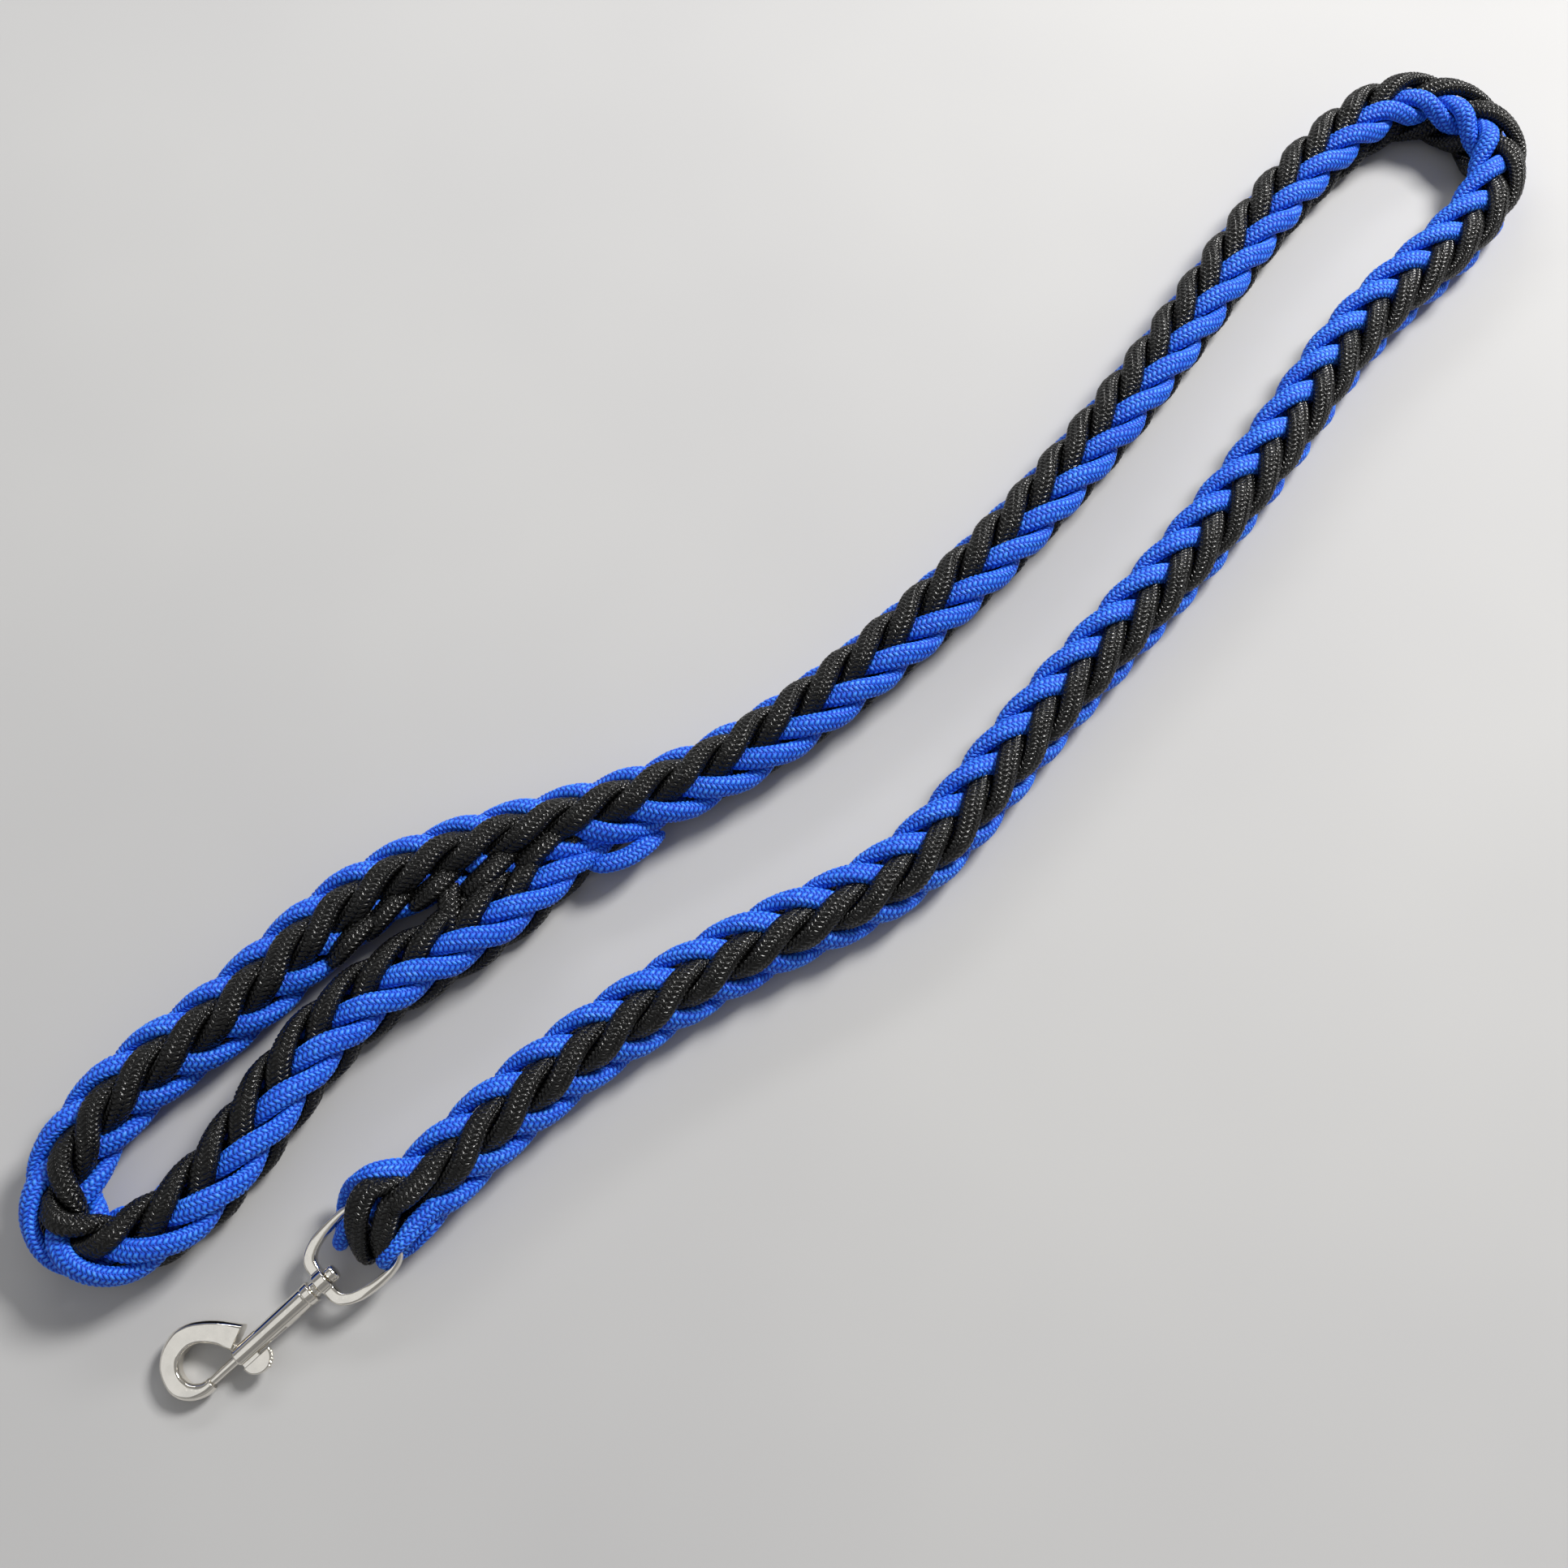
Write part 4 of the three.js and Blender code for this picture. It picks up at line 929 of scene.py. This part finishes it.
CHROME = metal("chrome_plating", (0.86, 0.825, 0.755, 1), (0.62, 0.595, 0.55, 1), 0.10, 0.08)
STEEL = metal("spring_wire", (0.55, 0.54, 0.52, 1), (0.32, 0.31, 0.30, 1), 0.28, 0.15)
for ob, body_name, node, slot_name in ((SNAP, "snap_body", "snap_body", "chrome_plate"), (EYE, "swivel_eye", "swivel_eye", "chrome_plate"),
                                       (BOLT, "trigger_bolt", "trigger_bolt", "chrome_plate"), (SPRING, "snap_body", "bolt_spring", "spring_steel")):
    ob.data.materials.clear()
    ob.data.materials.append(STEEL if slot_name == "spring_steel" else CHROME)
    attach(ob, body_name)
    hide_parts(node)
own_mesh(SPRING)


# ------------------------------------------------------------ floor, light, camera
fm, nt, b = new_material("pale_floor")
obj = nt.nodes.new("ShaderNodeTexCoord").outputs["Object"]
nt.links.new(ramp(nt, noise(nt, obj, 3.0, 3.0), [(0.3, srgb(184, 184, 185)), (0.7, srgb(191, 191, 191))]), b.inputs["Base Color"])
b.inputs["Roughness"].default_value = 0.72
socket(b, "Specular IOR Level", "Specular").default_value = 0.25

# Far from the lead the floor runs out into an even pale backdrop, for the camera only.
PALE = (0.50, 0.50, 0.505, 1)
far = nt.nodes.new("ShaderNodeVectorMath")
far.operation = "LENGTH"
nt.links.new(obj, far.inputs[0])
fade = nt.nodes.new("ShaderNodeMapRange")
fade.interpolation_type = "SMOOTHSTEP"
fade.inputs["From Min"].default_value, fade.inputs["From Max"].default_value = 0.75, 1.9
nt.links.new(far.outputs["Value"], fade.inputs["Value"])
seen = nt.nodes.new("ShaderNodeMath")
seen.operation = "MULTIPLY"
nt.links.new(fade.outputs["Result"], seen.inputs[0])
nt.links.new(nt.nodes.new("ShaderNodeLightPath").outputs["Is Camera Ray"], seen.inputs[1])
glow = nt.nodes.new("ShaderNodeEmission")
glow.inputs["Color"].default_value = PALE
both = nt.nodes.new("ShaderNodeMixShader")
nt.links.new(seen.outputs[0], both.inputs[0])
nt.links.new(b.outputs[0], both.inputs[1])
nt.links.new(glow.outputs[0], both.inputs[2])
nt.links.new(both.outputs[0], next(n for n in nt.nodes if n.type == "OUTPUT_MATERIAL").inputs["Surface"])
g = bpy.data.meshes.new("floor")
g.from_pydata([(-60, -60, -0.0002), (60, -60, -0.0002), (60, 60, -0.0002), (-60, 60, -0.0002)], [], [(0, 1, 2, 3)])
floor = bpy.data.objects.new("floor", g)
bpy.context.scene.collection.objects.link(floor)
g.materials.append(fm)


def area(name, where, at, size, power, colour=(1, 1, 1), size_y=None):
    l = bpy.data.lights.new(name, "AREA")
    l.shape, l.size, l.size_y = "RECTANGLE", size, size_y or size
    l.energy, l.color = power, colour
    o = bpy.data.objects.new(name, l)
    o.location = where
    o.rotation_euler = (Vector(at) - Vector(where)).to_track_quat("-Z", "Y").to_euler()
    bpy.context.scene.collection.objects.link(o)
    return o


lights = [
    area("key", (1.20, 1.06, 1.50), (0, 0, 0), 0.60, 60.0, (1.0, 0.985, 0.96)),
    area("fill", (-1.1, -0.6, 1.4), (0, 0, 0), 1.4, 3.2, (0.95, 0.97, 1.0)),
    area("strip", (-0.3, 1.2, 0.9), (0, 0.1, 0), 1.2, 5.5, (1, 1, 1), 0.22),
]
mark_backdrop(floor, *lights)

w = bpy.data.worlds.new("studio")
bpy.context.scene.world = w
w.use_nodes = True
nt = w.node_tree
bg = nt.nodes["Background"]
tc = nt.nodes.new("ShaderNodeTexCoord").outputs["Generated"]
sep = nt.nodes.new("ShaderNodeSeparateXYZ")
nt.links.new(tc, sep.inputs[0])
nt.links.new(ramp(nt, sep.outputs["Z"], [(0.0, (0.16, 0.16, 0.17, 1)), (0.12, (0.50, 0.50, 0.50, 1)), (0.3, (0.62, 0.61, 0.59, 1)), (0.6, (0.34, 0.34, 0.35, 1)), (1.0, (0.50, 0.49, 0.47, 1))]), bg.inputs["Color"])
bg.inputs["Strength"].default_value = 0.62
shown = nt.nodes.new("ShaderNodeBackground")
shown.inputs["Color"].default_value = PALE
both = nt.nodes.new("ShaderNodeMixShader")
nt.links.new(nt.nodes.new("ShaderNodeLightPath").outputs["Is Camera Ray"], both.inputs[0])
nt.links.new(bg.outputs[0], both.inputs[1])
nt.links.new(shown.outputs[0], both.inputs[2])
nt.links.new(both.outputs[0], next(n for n in nt.nodes if n.type == "OUTPUT_WORLD").inputs["Surface"])
bpy.context.scene.view_settings.view_transform = "Standard"

cam = bpy.data.cameras.new("camera")
cam.sensor_width = 36.0
cam.lens = 38.94
cam.clip_start, cam.clip_end = 0.01, 20
co = bpy.data.objects.new("camera", cam)
co.location = (-ORIGIN[0] * MM, -ORIGIN[1] * MM, 0.650)
co.rotation_euler = (math.radians(20), 0, 0)
bpy.context.scene.collection.objects.link(co)
bpy.context.scene.camera = co

bpy.context.view_layer.update()
LOOK_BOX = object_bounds()
plain = lambda box: [[float(v) for v in corner] for corner in box]
{"cad": plain(CAD_BOX), "look": plain(LOOK_BOX)}
